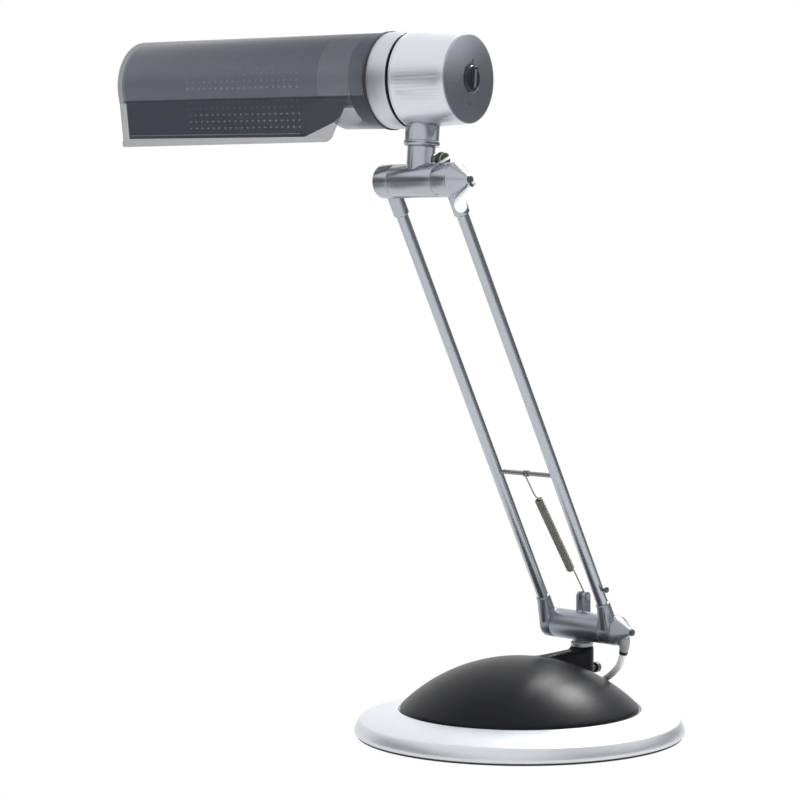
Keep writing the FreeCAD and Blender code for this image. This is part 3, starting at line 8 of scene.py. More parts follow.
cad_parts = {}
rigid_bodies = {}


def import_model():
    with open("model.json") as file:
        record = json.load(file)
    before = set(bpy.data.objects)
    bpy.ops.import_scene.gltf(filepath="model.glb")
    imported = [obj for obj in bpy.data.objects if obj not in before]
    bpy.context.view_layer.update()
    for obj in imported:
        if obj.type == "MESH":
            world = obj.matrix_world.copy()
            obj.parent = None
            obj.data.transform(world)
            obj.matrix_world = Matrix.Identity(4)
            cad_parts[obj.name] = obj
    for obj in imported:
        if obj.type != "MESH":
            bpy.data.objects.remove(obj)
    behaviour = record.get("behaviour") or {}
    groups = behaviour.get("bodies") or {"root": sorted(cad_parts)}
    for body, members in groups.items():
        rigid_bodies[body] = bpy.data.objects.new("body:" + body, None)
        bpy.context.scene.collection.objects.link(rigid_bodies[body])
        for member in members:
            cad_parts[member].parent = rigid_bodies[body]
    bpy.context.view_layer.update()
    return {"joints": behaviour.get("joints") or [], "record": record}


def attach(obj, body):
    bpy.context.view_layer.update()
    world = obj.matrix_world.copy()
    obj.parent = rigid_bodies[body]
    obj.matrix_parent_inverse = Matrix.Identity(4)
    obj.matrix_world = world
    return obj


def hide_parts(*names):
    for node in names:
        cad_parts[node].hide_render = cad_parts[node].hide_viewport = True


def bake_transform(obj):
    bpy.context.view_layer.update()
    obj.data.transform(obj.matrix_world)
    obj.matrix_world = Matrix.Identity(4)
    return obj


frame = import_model()

MM = 0.001
MICRON = 0.000001
ACROSS = Vector((1, 0, 0))
JOINTS = {joint["name"]: joint for joint in frame["joints"]}
RECORD = frame["record"]
BODY_OF = {node: body for body, nodes in RECORD["behaviour"]["bodies"].items() for node in nodes}


def joint_place(name):
    return Vector(JOINTS[name]["pos_m"])


def joint_axis(name):
    return Vector(JOINTS[name]["axis"]).normalized()


def upright_frame(origin, x_axis, z_axis):
    """A matrix with its origin at a place, its X near one direction and its Z along another."""
    side = z_axis.cross(x_axis).normalized()
    along = side.cross(z_axis)
    turn = Matrix((along, side, z_axis)).transposed().to_4x4()
    return Matrix.Translation(origin) @ turn


# Frames of the lamp's own pieces: the lower joint, the arms, the neck and the head
PIVOT = joint_place("arm_tilt")
UPPER = joint_place("head_tilt")
ARM_WAY = (UPPER - PIVOT).normalized()
STEM_WAY = joint_axis("head_swivel")
WORLD = Matrix.Identity(4)
BASE = WORLD
LOWER_JOINT = Matrix.Translation(PIVOT)
ARM = upright_frame(PIVOT, ACROSS, ARM_WAY)
NECK = upright_frame(UPPER, ACROSS, STEM_WAY)
HEAD = upright_frame(joint_place("shade_turn"), joint_axis("shade_turn"), STEM_WAY)

# Camera, found from the ellipses of the base, the dome and the head
CAMERA_PLACE = Vector((1.22925, -1.31330, 0.34539))
CAMERA_AZIMUTH = 45.73
CAMERA_ELEVATION = 3.57
CAMERA_ROLL = -0.23
CAMERA_LENS = 117.04
SENSOR = 36.0
NEAREST_SEEN = 0.05
FARTHEST_SEEN = 30


def make_camera():
    azimuth = math.radians(CAMERA_AZIMUTH)
    elevation = math.radians(CAMERA_ELEVATION)
    roll = math.radians(CAMERA_ROLL)
    flat = math.cos(elevation)
    back = Vector((math.sin(azimuth) * flat, -math.cos(azimuth) * flat, math.sin(elevation)))
    level = Vector((math.cos(azimuth), math.sin(azimuth), 0))
    right = level * math.cos(roll) + back.cross(level) * math.sin(roll)
    turn = Matrix((right, back.cross(right), back)).transposed().to_4x4()
    data = bpy.data.cameras.new("camera")
    data.lens = CAMERA_LENS
    data.sensor_width = SENSOR
    data.clip_start = NEAREST_SEEN
    data.clip_end = FARTHEST_SEEN
    camera = bpy.data.objects.new("camera", data)
    bpy.context.scene.collection.objects.link(camera)
    camera.matrix_world = Matrix.Translation(CAMERA_PLACE) @ turn
    bpy.context.scene.camera = camera


make_camera()


# Height of the shade's fold over the head's axis, and where the painted shade that darkens the hood
# towards its top starts and fades in
FOLD_HEIGHT = -0.0135
PAINTED_SHADE_START = 0.004
PAINTED_SHADE_FADE = 0.026


# Shader maths

class Term:
    """A node's output that adds its own Math nodes where it is used in a sum."""

    def __init__(self, finish, socket):
        self.finish = finish
        self.socket = socket

    def math(self, operation, other=0.0, swapped=False):
        first, second = (other, self) if swapped else (self, other)
        return self.finish.node("Math", {"operation": operation}, {0: first, 1: second})

    def __add__(self, other):
        return self.math("ADD", other)

    def __radd__(self, other):
        return self.math("ADD", other)

    def __sub__(self, other):
        return self.math("SUBTRACT", other)

    def __rsub__(self, other):
        return self.math("SUBTRACT", other, True)

    def __mul__(self, other):
        return self.math("MULTIPLY", other)

    def __gt__(self, other):
        return self.math("GREATER_THAN", other)

    def __lt__(self, other):
        return self.math("LESS_THAN", other)

    def __pow__(self, other):
        return self.math("POWER", other)


def clamped(term):
    return term.math("MAXIMUM", 0.0).math("MINIMUM", 1.0)


def srgb(red, green, blue):
    """A screen colour, from 0 to 255 each, as the linear colour that a shader takes."""
    def linear(value):
        share = value / 255
        return share / 12.92 if share <= 0.04045 else ((share + 0.055) / 1.055) ** 2.4
    return (linear(red), linear(green), linear(blue), 1.0)


class Finish:
    """One material: uniform values go on the shader's own sockets, the rest is linked."""

    def __init__(self, name, colour, roughness, metallic=0.0, **uniform):
        self.material = bpy.data.materials.new(name)
        self.material.use_nodes = True
        self.tree = self.material.node_tree
        self.shader = self.tree.nodes["Principled BSDF"]
        self.frames = {}
        self.set("Base Color", colour)
        self.set("Roughness", roughness)
        self.set("Metallic", metallic)
        for socket, value in uniform.items():
            self.set(socket.replace("_", " "), value)

    def set(self, socket, value):
        self.put(self.shader.inputs[socket], value)

    def put(self, target, value):
        if isinstance(value, Term):
            self.tree.links.new(value.socket, target)
        else:
            target.default_value = value

    def node(self, kind, settings=None, values=None, output=0):
        made = self.tree.nodes.new("ShaderNode" + kind)
        for name, value in (settings or {}).items():
            if name == "stops":
                self.set_stops(made.color_ramp, value)
            else:
                setattr(made, name, value)
        for socket, value in (values or {}).items():
            self.put(made.inputs[socket], value)
        return Term(self, made.outputs[output])

    def set_stops(self, ramp, stops):
        for number, (place, value) in enumerate(stops):
            stop = ramp.elements[number] if number < 2 else ramp.elements.new(place)
            stop.position = place
            stop.color = value if hasattr(value, "__len__") else (value, value, value, 1.0)

    def place(self, matrix=None):
        """Object coordinates, measured in the given frame."""
        key = str(matrix)
        if key not in self.frames:
            where = self.node("TexCoord", output=3)
            if matrix is not None:
                inverse = matrix.inverted()
                where = self.node("Mapping", {"vector_type": "POINT"}, {
                    "Vector": where,
                    "Location": inverse.to_translation(),
                    "Rotation": inverse.to_euler(),
                })
            self.frames[key] = where
        return self.frames[key]

    def parts(self, vector):
        """A vector's three numbers."""
        split = self.node("SeparateXYZ", values={0: vector}).socket.node
        return [Term(self, output) for output in split.outputs]

    def stretched(self, vector, scale):
        return self.node("Mapping", {"vector_type": "POINT"}, {"Vector": vector, "Scale": scale})

    def noise(self, vector, scale, detail=2.0, roughness=0.5):
        """Smooth noise from 0 to 1, its scale in bumps to the metre."""
        return self.node("TexNoise", values={
            "Vector": vector, "Scale": scale, "Detail": detail, "Roughness": roughness,
        })

    def tint(self, share, low, high):
        """A colour between two others."""
        mixed = self.node("Mix", {"data_type": "RGBA"}, {"Factor": share}).socket.node
        colours = [socket for socket in mixed.inputs if socket.type == "RGBA"]
        self.put(colours[0], low)
        self.put(colours[1], high)
        return Term(self, [socket for socket in mixed.outputs if socket.type == "RGBA"][0])

    def bump(self, height, depth):
        """Relief: height runs from 0 to 1, depth is in metres."""
        self.set("Normal", self.node("Bump", values={"Height": height, "Distance": depth}))


def fine_grain(finish, frame_of, grain, relief, light, dark):
    """The even, very fine grain of moulded, cast or sprayed surfaces, grain in bumps to the metre."""
    where = finish.place(frame_of)
    fine = finish.noise(where, grain, 3.0, 0.6)
    broad = finish.noise(where, grain / GRAIN_TO_PATCHES, 2.0, 0.5)
    finish.bump(fine, relief * MICRON)
    finish.set("Base Color", finish.tint(broad, dark, light))
    return fine, broad


def grained(name, frame_of, light, dark, metallic, grain, relief, rough, spread):
    """A finish that is fine grain and nothing else; its roughness runs from rough over the spread."""
    finish = Finish(name, light, rough + spread / 2, metallic)
    fine = fine_grain(finish, frame_of, grain, relief, light, dark)[0]
    finish.set("Roughness", rough + fine * spread)
    return finish


# Finishes, each named for what it is on; reliefs are in thousandths of a millimetre
GRAIN_TO_PATCHES = 40


def disc_silver():
    finish = Finish("disc_silver", srgb(214, 217, 222), 0.36, 0.8)
    fine, broad = fine_grain(finish, BASE, 5200, 8, srgb(217, 220, 225), srgb(210, 213, 219))
    finish.set("Roughness", 0.32 + fine * 0.06 + broad * 0.05)
    return finish


def dome_black():
    finish = Finish("dome_black", srgb(18, 19, 23), 0.33, 0.0, Specular_IOR_Level=0.12)
    broad = fine_grain(finish, BASE, 3400, 20, srgb(20, 21, 25), srgb(16, 17, 20))[1]
    finish.set("Roughness", 0.30 + broad * 0.06)
    return finish


def neck_grey():
    return grained("neck_grey", NECK, srgb(180, 184, 191), srgb(170, 174, 182), 0.85, 6000, 4, 0.17, 0.06)


def joint_grey():
    return grained("joint_grey", LOWER_JOINT, srgb(160, 164, 172), srgb(146, 151, 159), 0.85, 6000, 4,
                   0.33, 0.06)


def tube_silver():
    finish = Finish("tube_silver", srgb(182, 187, 195), 0.25, 0.9)
    lines = finish.noise(finish.stretched(finish.place(ARM), (1, 1, 0.004)), 5200, 2.0, 0.6)
    finish.set("Base Color", finish.tint(lines, srgb(176, 181, 190), srgb(190, 195, 202)))
    finish.set("Roughness", 0.22 + lines * 0.08)
    return finish


def housing_silver(name, light, dark, rough):
    """Turned metal: fine lines run round the head's axis."""
    finish = Finish(name, light, rough, 0.92)
    across = finish.parts(finish.place(HEAD))[0]
    rings = finish.noise(finish.node("CombineXYZ", values={0: across}), 5200, 3.0, 0.7)
    patches = finish.noise(finish.stretched(finish.place(HEAD), (30, 1, 1)), 45, 2.0, 0.5)
    finish.set("Base Color", finish.tint(rings * 0.6 + patches * 0.4, dark, light))
    finish.set("Roughness", (rough - 0.05) + rings * 0.08 + patches * 0.04)
    finish.bump(rings, 4 * MICRON)
    return finish


def cap_grey():
    return grained("cap_grey", HEAD, srgb(187, 191, 200), srgb(178, 182, 191), 0.88, 4200, 4, 0.22, 0.06)


def knob_black():
    return grained("knob_black", HEAD, srgb(40, 41, 46), srgb(34, 35, 40), 0.0, 4800, 30, 0.30, 0.06)


def smoked_plastic():
    """See-through smoked plastic: darker where the eye looks along a wall, as tinted plastic is."""
    finish = Finish("smoked_plastic", srgb(96, 101, 110), 0.22, 0.0, IOR=1.45, Specular_IOR_Level=0.4)
    where = finish.place(HEAD)
    haze = finish.noise(where, 60, 2.0, 0.5)
    height = finish.parts(where)[2]
    skirt = height < FOLD_HEIGHT
    # The hood's colour gets darker towards its top: painted shade, not a tint of the plastic
    painted_top_shade = clamped((height - PAINTED_SHADE_START) * (1 / PAINTED_SHADE_FADE))
    side = finish.tint(haze, srgb(112, 117, 126), srgb(120, 125, 134))
    hood_with_painted_shade = finish.tint(painted_top_shade, side, srgb(62, 66, 76))
    # The skirt's plastic gets a darker colour than the hood: painted shade on its lower, inward-leaning
    # side
    finish.set("Base Color", finish.tint(skirt, hood_with_painted_shade, srgb(82, 86, 95)))
    finish.set("Roughness", 0.20 + haze * 0.06)
    along = finish.node("LayerWeight", values={"Blend": 0.5}, output=1)
    finish.set("Alpha", clamped(0.44 + haze * 0.03 - skirt * 0.09 + (along ** 2) * 0.6))
    return finish


def sheet_grey(name, light, dark):
    """Rolled sheet metal with a satin lacquer, its lines along the head."""
    finish = Finish(name, light, 0.42, 0.3)
    lines = finish.noise(finish.stretched(finish.place(HEAD), (0.01, 1, 1)), 2400, 2.0, 0.6)
    finish.set("Base Color", finish.tint(lines, dark, light))
    finish.set("Roughness", 0.38 + lines * 0.10)
    return finish


def seal_black(name="seal_black", light=srgb(44, 46, 52), dark=srgb(38, 40, 45)):
    return grained(name, HEAD, light, dark, 0.0, 3600, 30, 0.42, 0.08)


def plain_steel(name="plain_steel", colour=srgb(168, 168, 166), matrix=None, rough=0.32):
    finish = Finish(name, colour, rough, 0.95)
    fine = finish.noise(finish.place(matrix), 1800, 2.0, 0.5)
    patches = finish.noise(finish.place(matrix), 260, 2.0, 0.5)
    finish.set("Roughness", (rough - 0.05) + fine * 0.08 + patches * 0.08)
    finish.bump(fine, 2 * MICRON)
    return finish


def white_plastic(name="white_plastic"):
    return grained(name, None, srgb(240, 239, 235), srgb(232, 230, 224), 0.0, 3000, 20, 0.32, 0.06)


def cord_white():
    finish = Finish("cord_white", srgb(236, 236, 236), 0.34, 0.0)
    where = finish.place()
    broad = finish.noise(where, 320, 2.0, 0.5)
    finish.set("Base Color", finish.tint(broad, srgb(243, 242, 245), srgb(250, 249, 251)))
    finish.set("Roughness", 0.30 + broad * 0.08)
    return finish


def soft_grey():
    return grained("soft_grey", LOWER_JOINT, srgb(158, 158, 160), srgb(140, 140, 143), 0.0, 2600, 40,
                   0.46, 0.08)


def rubber_black():
    return grained("rubber_black", None, srgb(42, 42, 44), srgb(33, 33, 35), 0.0, 1800, 80, 0.58, 0.10)


def spring_steel():
    finish = Finish("spring_steel", srgb(126, 123, 114), 0.5, 0.35)
    stains = finish.noise(finish.place(ARM), 500, 3.0, 0.6)
    finish.set("Base Color", finish.tint(stains, srgb(118, 115, 106), srgb(136, 133, 124)))
    finish.set("Roughness", 0.46 + stains * 0.10)
    return finish


def screw_dark():
    finish = Finish("screw_dark", srgb(96, 100, 92), 0.36, 0.8)
    stains = finish.noise(finish.place(NECK), 600, 3.0, 0.6)
    finish.set("Base Color", finish.tint(stains, srgb(86, 90, 82), srgb(112, 116, 106)))
    finish.set("Roughness", 0.30 + stains * 0.14)
    return finish


def lamp_white():
    finish = Finish("lamp_white", srgb(244, 244, 240), 0.22, 0.0)
    haze = finish.noise(finish.place(HEAD), 120, 2.0, 0.5)
    finish.set("Roughness", 0.18 + haze * 0.08)
    return finish


def board_green():
    finish = Finish("board_green", srgb(112, 128, 88), 0.5)
    traces = finish.noise(finish.place(HEAD), 420, 3.0, 0.6)
    finish.set("Base Color", finish.tint(traces > 0.5, srgb(96, 114, 74), srgb(118, 134, 92)))
    return finish


def cast_iron():
    return grained("cast_iron", BASE, srgb(76, 76, 78), srgb(62, 62, 64), 0.6, 900, 200, 0.62, 0.14)


def give(finish, *names):
    """CAD nodes and pieces take a finish."""
    for name in names:
        data = bpy.data.objects[name].data
        data.materials.clear()
        data.materials.append(finish.material)


def dress_nodes():
    give(disc_silver(), "base_disc")
    give(dome_black(), "dome_cover")
    give(cast_iron(), "base_weight")
    give(rubber_black(), "foot_ring", "joint_end_caps", "boot_ring")
    give(joint_grey(), "swivel_casting", "lower_cone", "lower_knuckle_left", "lower_knuckle_right")
    give(neck_grey(), "head_tee", "head_sleeve", "upper_knuckle_left", "upper_knuckle_right", "upper_cone")
    give(tube_silver(), "arm_tube_left", "arm_tube_right")
    give(housing_silver("housing_silver", srgb(224, 226, 231), srgb(212, 215, 221), 0.34), "head_housing")
    give(housing_silver("ring_silver", srgb(212, 215, 219), srgb(198, 202, 207), 0.44), "shade_ring")
    give(cap_grey(), "head_cap")
    give(knob_black(), "switch_knob", "switch_body", "lower_friction_washers", "upper_friction_washers")
    give(plain_steel("pointer_steel", srgb(214, 215, 216), HEAD, 0.28), "knob_pointer")
    give(plain_steel(), "base_plate", "base_screws", "pivot_socket", "swivel_spindle", "spindle_washer",
         "spindle_nut", "lower_axle", "upper_axle", "sleeve_nut", "spring_pin")
    give(screw_dark(), "neck_clamp_screw", "arm_screw", "lock_screw")
    give(plain_steel("bar_steel", srgb(142, 144, 148), ARM, 0.34), "crossbar")
    give(smoked_plastic(), "lamp_shade")
    give(sheet_grey("reflector_grey", srgb(138, 143, 150), srgb(130, 135, 142)), "reflector")
    give(seal_black(), "shade_seal", "holder_plate")
    give(white_plastic(), "mains_plug", "lamp_holder", "lamp_base", "stem_clip")
    give(cord_white(), "arm_lead", "stem_lead", "mains_cord", "mains_coil")
    give(soft_grey(), "cord_boot")
    give(seal_black("grommet_dark", srgb(70, 72, 76), srgb(62, 64, 68)), "lower_grommet", "upper_grommet")
    give(board_green(), "ballast_board")
    give(lamp_white(), "lamp_tube")
    give(plain_steel("pin_metal", srgb(205, 196, 168), None, 0.25), "plug_pins")
    give(spring_steel(), "balance_spring")


dress_nodes()


# Mains lead: the route's points are listed, the coil's turns are worked out
CORD_RADIUS = 0.0025
CORD_ROUTE = [
    (0.0380, 0.06623, 0.05227),
    (0.0356, 0.06653, 0.04467),
    (0.0290, 0.0678, 0.0390),
    (0.0205, 0.0715, 0.0338),
    (0.0095, 0.0782, 0.0293),
    (-0.0035, 0.0875, 0.0260),
    (-0.0185, 0.0988, 0.0225),
    (-0.0330, 0.1105, 0.0170),
    (-0.0475, 0.1208, 0.0092),
    (-0.0635, 0.1300, 0.0033),
    (-0.0792, 0.13876, 0.0025),
]
PLUG_ROUTE = [
    (-0.09406, 0.14827, 0.0079),
    (-0.09856, 0.1594, 0.0075),
    (-0.1066, 0.1686, 0.0069),
    (-0.1162, 0.1727, 0.0065),
    (-0.1255, 0.1735, 0.0063),
    (-0.1335, 0.1728, 0.0063),
    (-0.1405, 0.1727, 0.0063),
]
COIL_CENTRE = Vector((-0.116, 0.113, 0))
COIL_RADIUS = 0.0403
COIL_PITCH = 0.0055
COIL_TURNS = 8.96
COIL_START = 60.0
COIL_POINTS = 16


def coil_point(turn):
    """Place on the coil after a number of turns: in on the floor, out on the second layer."""
    half = COIL_TURNS / 2
    soft = 0.05
    apart = math.hypot(turn - half, soft) - math.hypot(half, soft)
    radius = (COIL_RADIUS + COIL_PITCH * apart) / math.cos(math.pi / COIL_POINTS)
    climb = min(1.0, max(0.0, (turn - half) * 2 + 0.5))
    height = CORD_RADIUS + COIL_PITCH * (1 - math.cos(math.pi * climb)) / 2
    angle = math.radians(COIL_START) + 2 * math.pi * turn
    return COIL_CENTRE + Vector((radius * math.cos(angle), radius * math.sin(angle), height))


def spline_through(name, points, resolution):
    """A smooth curve drawn by its control points, as an object with no thickness."""
    data = bpy.data.curves.new(name, "CURVE")
    data.dimensions = "3D"
    data.resolution_u = resolution
    spline = data.splines.new("NURBS")
    spline.points.add(len(points) - 1)
    for target, place in zip(spline.points, points):
        target.co = (*place, 1.0)
    spline.order_u = 3
    spline.use_endpoint_u = True
    curve = bpy.data.objects.new(name, data)
    bpy.context.scene.collection.objects.link(curve)
    return curve


def select_only(piece):
    for other in bpy.context.view_layer.objects:
        other.select_set(False)
    piece.select_set(True)
    bpy.context.view_layer.objects.active = piece


def line_of(curve):
    """The points that a curve with no thickness runs through."""
    bpy.context.view_layer.update()
    mesh = bpy.data.meshes.new_from_object(curve)
    points = [vertex.co.copy() for vertex in mesh.vertices]
    bpy.data.meshes.remove(mesh)
    return points


TUBE_SMOOTH = 50
SHARP_FROM = 30
SMOOTH_TO = 35
MERGE_WITHIN = 0.002
FLAT_WITHIN = 0.5


def round_tube(curve, radius, sides):
    """Gives a curve its thickness and turns it into a closed mesh."""
    curve.data.bevel_depth = radius
    curve.data.bevel_resolution = sides
    curve.data.use_fill_caps = True
    select_only(curve)
    bpy.ops.object.convert(target="MESH")
    bpy.ops.object.shade_smooth_by_angle(angle=math.radians(TUBE_SMOOTH))
    return curve


def mains_flex():
    count = int(COIL_TURNS * COIL_POINTS)
    turns = [coil_point(COIL_TURNS * number / count) for number in range(count + 1)]
    route = [Vector(place) for place in CORD_ROUTE] + turns + [Vector(place) for place in PLUG_ROUTE]
    curve = spline_through("mains_flex", route, 5)
    path = line_of(curve)
    flex = round_tube(curve, CORD_RADIUS, 5)
    give(cord_white(), flex.name)
    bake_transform(flex)
    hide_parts("mains_cord", "mains_coil")


# Pieces modelled over the frame

def nothing_selected():
    for other in bpy.context.view_layer.objects:
        other.select_set(False)


def start(kind, name, **settings):
    """A primitive added alone, the start of a piece."""
    nothing_selected()
    getattr(bpy.ops.mesh, "primitive_" + kind + "_add")(**settings)
    piece = bpy.context.object
    piece.name = name
    return piece


def mark(kind, test):
    """In edit mode, selects the vertices, edges or faces whose middle passes a test."""
    mesh = bpy.context.edit_object.data
    bpy.ops.mesh.select_mode(type=kind)
    bpy.ops.mesh.select_all(action="DESELECT")
    shape = bmesh.from_edit_mesh(mesh)
    if kind == "VERT":
        chosen = [vertex for vertex in shape.verts if test(vertex.co)]
    else:
        items = shape.edges if kind == "EDGE" else shape.faces
        chosen = [item for item in items if test(middle_of(item))]
    for item in chosen:
        item.select_set(True)
    shape.select_flush_mode()
    bmesh.update_edit_mesh(mesh)


def middle_of(item):
    return sum((vertex.co for vertex in item.verts), Vector()) / len(item.verts)


def carve(piece):
    select_only(piece)
    bpy.ops.object.mode_set(mode="EDIT")


def done():
    bpy.ops.object.mode_set(mode="OBJECT")


def apply_modifier(piece, kind, **settings):
    select_only(piece)
    modifier = piece.modifiers.new(kind.lower(), kind)
    for name, value in settings.items():
        setattr(modifier, name, value)
    bpy.ops.object.modifier_apply(modifier=modifier.name)


def smooth(piece, angle=SMOOTH_TO):
    select_only(piece)
    bpy.ops.object.shade_smooth_by_angle(angle=math.radians(angle))


def lay(piece, place):
    """Moves a finished mesh from its own frame to the lamp's."""
    piece.matrix_world = place @ piece.matrix_world
    select_only(piece)
    bpy.ops.object.transform_apply(location=True, rotation=True, scale=True)


def settle(piece, place, node, finish=None):
    """Lays a finished mesh in its place, where it stands for a node."""
    lay(piece, place)
    if finish:
        give(finish, piece.name)
    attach(piece, BODY_OF[node])
    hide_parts(node)


def merged_copy(node, name):
    """A node's own shape as one joined mesh, with the loose triangles of its flats merged."""
    piece = bpy.data.objects.new(name, bpy.data.objects[node].data.copy())
    bpy.context.scene.collection.objects.link(piece)
    carve(piece)
    bpy.ops.mesh.select_all(action="SELECT")
    bpy.ops.mesh.remove_doubles(threshold=MERGE_WITHIN * MM)
    bpy.ops.mesh.dissolve_limited(angle_limit=math.radians(FLAT_WITHIN))
    done()
    return piece


def break_edges(piece, width, segments, limit=SHARP_FROM, **corners):
    """Rounds a piece's sharp edges as a finished part's are, a width in millimetres."""
    apply_modifier(piece, "BEVEL", width=width * MM, segments=segments, limit_method="ANGLE",
                   angle_limit=math.radians(limit), use_clamp_overlap=False, **corners)
    smooth(piece)


def rounded_copy(node, width, segments):
    piece = merged_copy(node, node + "_finished")
    break_edges(piece, width, segments, miter_outer="MITER_SHARP")
    settle(piece, WORLD, node)


def add_finish(piece, finish, faces):
    """Gives one more finish to some of a piece's faces."""
    piece.data.materials.append(finish.material)
    for face in faces:
        face.material_index = len(piece.data.materials) - 1


def paint(piece, finish, frame_of, test):
    """Gives one more finish to the faces whose middle, in a frame, passes a test."""
    inverse = frame_of.inverted()
    add_finish(piece, finish, [face for face in piece.data.polygons if test(inverse @ face.center)])


ROUNDED = {
    "base_disc": 1.2, "swivel_casting": 0.35, "lower_knuckle_left": 0.35, "lower_knuckle_right": 0.35,
    "upper_knuckle_left": 0.35, "upper_knuckle_right": 0.35, "head_tee": 0.35, "head_sleeve": 0.3,
    "head_housing": 0.35, "shade_ring": 0.3, "head_cap": 0.3, "switch_knob": 0.35, "shade_seal": 0.3,
    "neck_clamp_screw": 0.25,
}
GROOVE_LEFT = -0.0245
GROOVE_RIGHT = -0.0081
RING_FACE = -0.0104
SLOT_FLOOR = 0.0123
SCREW_FACE = 0.01395
SCREW_INSIDE = 0.0049


def in_slot(place):
    return SLOT_FLOOR < place.x < SCREW_FACE and math.hypot(place.y, place.z) < SCREW_INSIDE


def round_edges():
    for node, width in ROUNDED.items():
        rounded_copy(node, width, 3 if node == "base_disc" else 2)
    paint(bpy.data.objects["head_housing_finished"], seal_black("groove_black"), HEAD,
          lambda place: GROOVE_LEFT < place.x < GROOVE_RIGHT)
    # The silver ring's right face, in the gap to the housing, is painted black: painted shade in the
    # groove
    paint(bpy.data.objects["shade_ring_finished"], seal_black("ring_face_painted_shade"), HEAD,
          lambda place: place.x > RING_FACE)
    # The screw's slot is painted white: painted light in the slot
    paint(bpy.data.objects["neck_clamp_screw_finished"], white_plastic("slot_painted_light"),
          Matrix.Translation(joint_place("clamp_screw_turn")), in_slot)


# The plug lies turned a little further behind the base than its solid does
PLUG_END = Vector((-0.14495, 0.16415, 0))
PLUG_TURN = -37.0
PLUG_EDGE = 0.8


def plug():
    turn = Matrix.Rotation(math.radians(PLUG_TURN), 4, "Z")
    lead_end = Matrix.Translation((*PLUG_ROUTE[-1][:2], 0))
    place = lead_end @ turn @ Matrix.Translation(-PLUG_END)
    body = merged_copy("mains_plug", "plug_moulded")
    break_edges(body, PLUG_EDGE, 3)
    settle(body, place, "mains_plug")
    prongs = merged_copy("plug_pins", "plug_prongs")
    smooth(prongs)
    settle(prongs, place, "plug_pins")


DOME_MESH = 0.9
DOME_PASSES = 14


def dome():
    """The cover's boss and spine run into it in one flowing surface."""
    piece = merged_copy("dome_cover", "dome_cover_moulded")
    apply_modifier(piece, "REMESH", mode="VOXEL", voxel_size=DOME_MESH * MM, use_smooth_shade=True)
    apply_modifier(piece, "SMOOTH", factor=0.5, iterations=DOME_PASSES)
    settle(piece, WORLD, "dome_cover", finish=dome_black())


# Shade: the near skirt hangs from the fold and leans in towards the lamp tube
FOLD_ANGLE = math.radians(25)
FOLD_SHIFT = math.radians(2.8)
FOLD_DROP = 0.0014
SKIRT_LENGTH = 0.0305
SKIRT_LEAN = 0.236
SKIRT_INSIDE = -0.0255
SKIRT_LEFT = -0.244
SKIRT_WIDTH = 0.180
HEM_DROP = 0.0013
HEM_RISE = 0.0021
SHADE_EDGE = 0.3
SHADE_SHARP = 35


def hang_skirt(place):
    """The skirt as it hangs, from the upright one: the fold a little lower, the hem further in."""
    below = FOLD_HEIGHT - place.z
    if place.y < SKIRT_INSIDE and below >= -0.00005:
        share = below / SKIRT_LENGTH
        hem = HEM_RISE * (place.x - SKIRT_LEFT) / SKIRT_WIDTH - HEM_DROP
        drop = FOLD_DROP * (1 - share) - hem * share
        return Vector((place.x, place.y + below * SKIRT_LEAN, place.z - drop))
    angle = math.atan2(-place.z, -place.y)
    if place.y < SKIRT_INSIDE and 0 < angle < FOLD_ANGLE * 1.05:
        angle += FOLD_SHIFT * angle / FOLD_ANGLE
        radius = math.hypot(place.y, place.z)
        return Vector((place.x, -radius * math.cos(angle), -radius * math.sin(angle)))
    return place


def shade():
    piece = merged_copy("lamp_shade", "lamp_shade_moulded")
    inverse = HEAD.inverted()
    for vertex in piece.data.vertices:
        vertex.co = HEAD @ hang_skirt(inverse @ vertex.co)
    break_edges(piece, SHADE_EDGE, 2, SHADE_SHARP)
    settle(piece, WORLD, "lamp_shade")


# Reflector: a thin sheet, rolled over the lamp and straight down in front, with rows of holes
REFLECTOR_RADIUS = 0.02935
REFLECTOR_WALL = 0.0008
REFLECTOR_LEFT = -0.2395
FLAP_DROP = 0.0278
FLAP_INSIDE = -0.0165
FLAP_LEAN = math.radians(13.2)
SHEET_RIGHT = -0.0430
FLAP_SLANT = 0.55
FLAP_CORNER = 0.0165
CORNER_SLANT = 2.15
COLLAR_LEFT = -0.0660
BEAD_RADIUS = 0.0009
BEAD_UP = 0.0024
BEAD_IN = 0.0004
BEAD_RIGHT = -0.0860
HOLE_COLUMN = 0.00505
HOLE_ROW = 0.0046
ARC_HOLE = 0.0017
FLAP_HOLE = 0.0009
HOLES_LEFT = -0.186
HOLES_RIGHT = -0.084
HOLES_HEIGHT = 0.0295
SHEET_ARC = REFLECTOR_RADIUS * (math.pi + 2 * FOLD_ANGLE)


def reflector_place(along, across):
    """A point of the rolled sheet; across runs from the far edge over the top to the near one."""
    angle = min(across, SHEET_ARC) / REFLECTOR_RADIUS - FOLD_ANGLE
    drop = max(0.0, across - SHEET_ARC)
    side = REFLECTOR_RADIUS * math.cos(angle) + drop * math.sin(FLAP_LEAN)
    return Vector((along, side, REFLECTOR_RADIUS * math.sin(angle) - drop * math.cos(FLAP_LEAN)))


def sheet_edge(across):
    """How far right the flat sheet goes: the flap's end slants, and its lower corner is cut off."""
    drop = max(0.0, across - SHEET_ARC)
    return SHEET_RIGHT - FLAP_SLANT * drop - CORNER_SLANT * max(0.0, drop - FLAP_CORNER)


def in_rows(place):
    return HOLES_LEFT < place.x < HOLES_RIGHT


def arc_hole(place):
    near = SHEET_ARC - HOLES_HEIGHT < place.y < SHEET_ARC - HOLE_ROW * 0.6
    far = HOLE_ROW * 0.6 < place.y < HOLES_HEIGHT
    return in_rows(place) and (near or far)


def flap_hole(place):
    return in_rows(place) and SHEET_ARC + HOLE_ROW * 0.4 < place.y < SHEET_ARC + FLAP_DROP - HOLE_ROW * 1.2


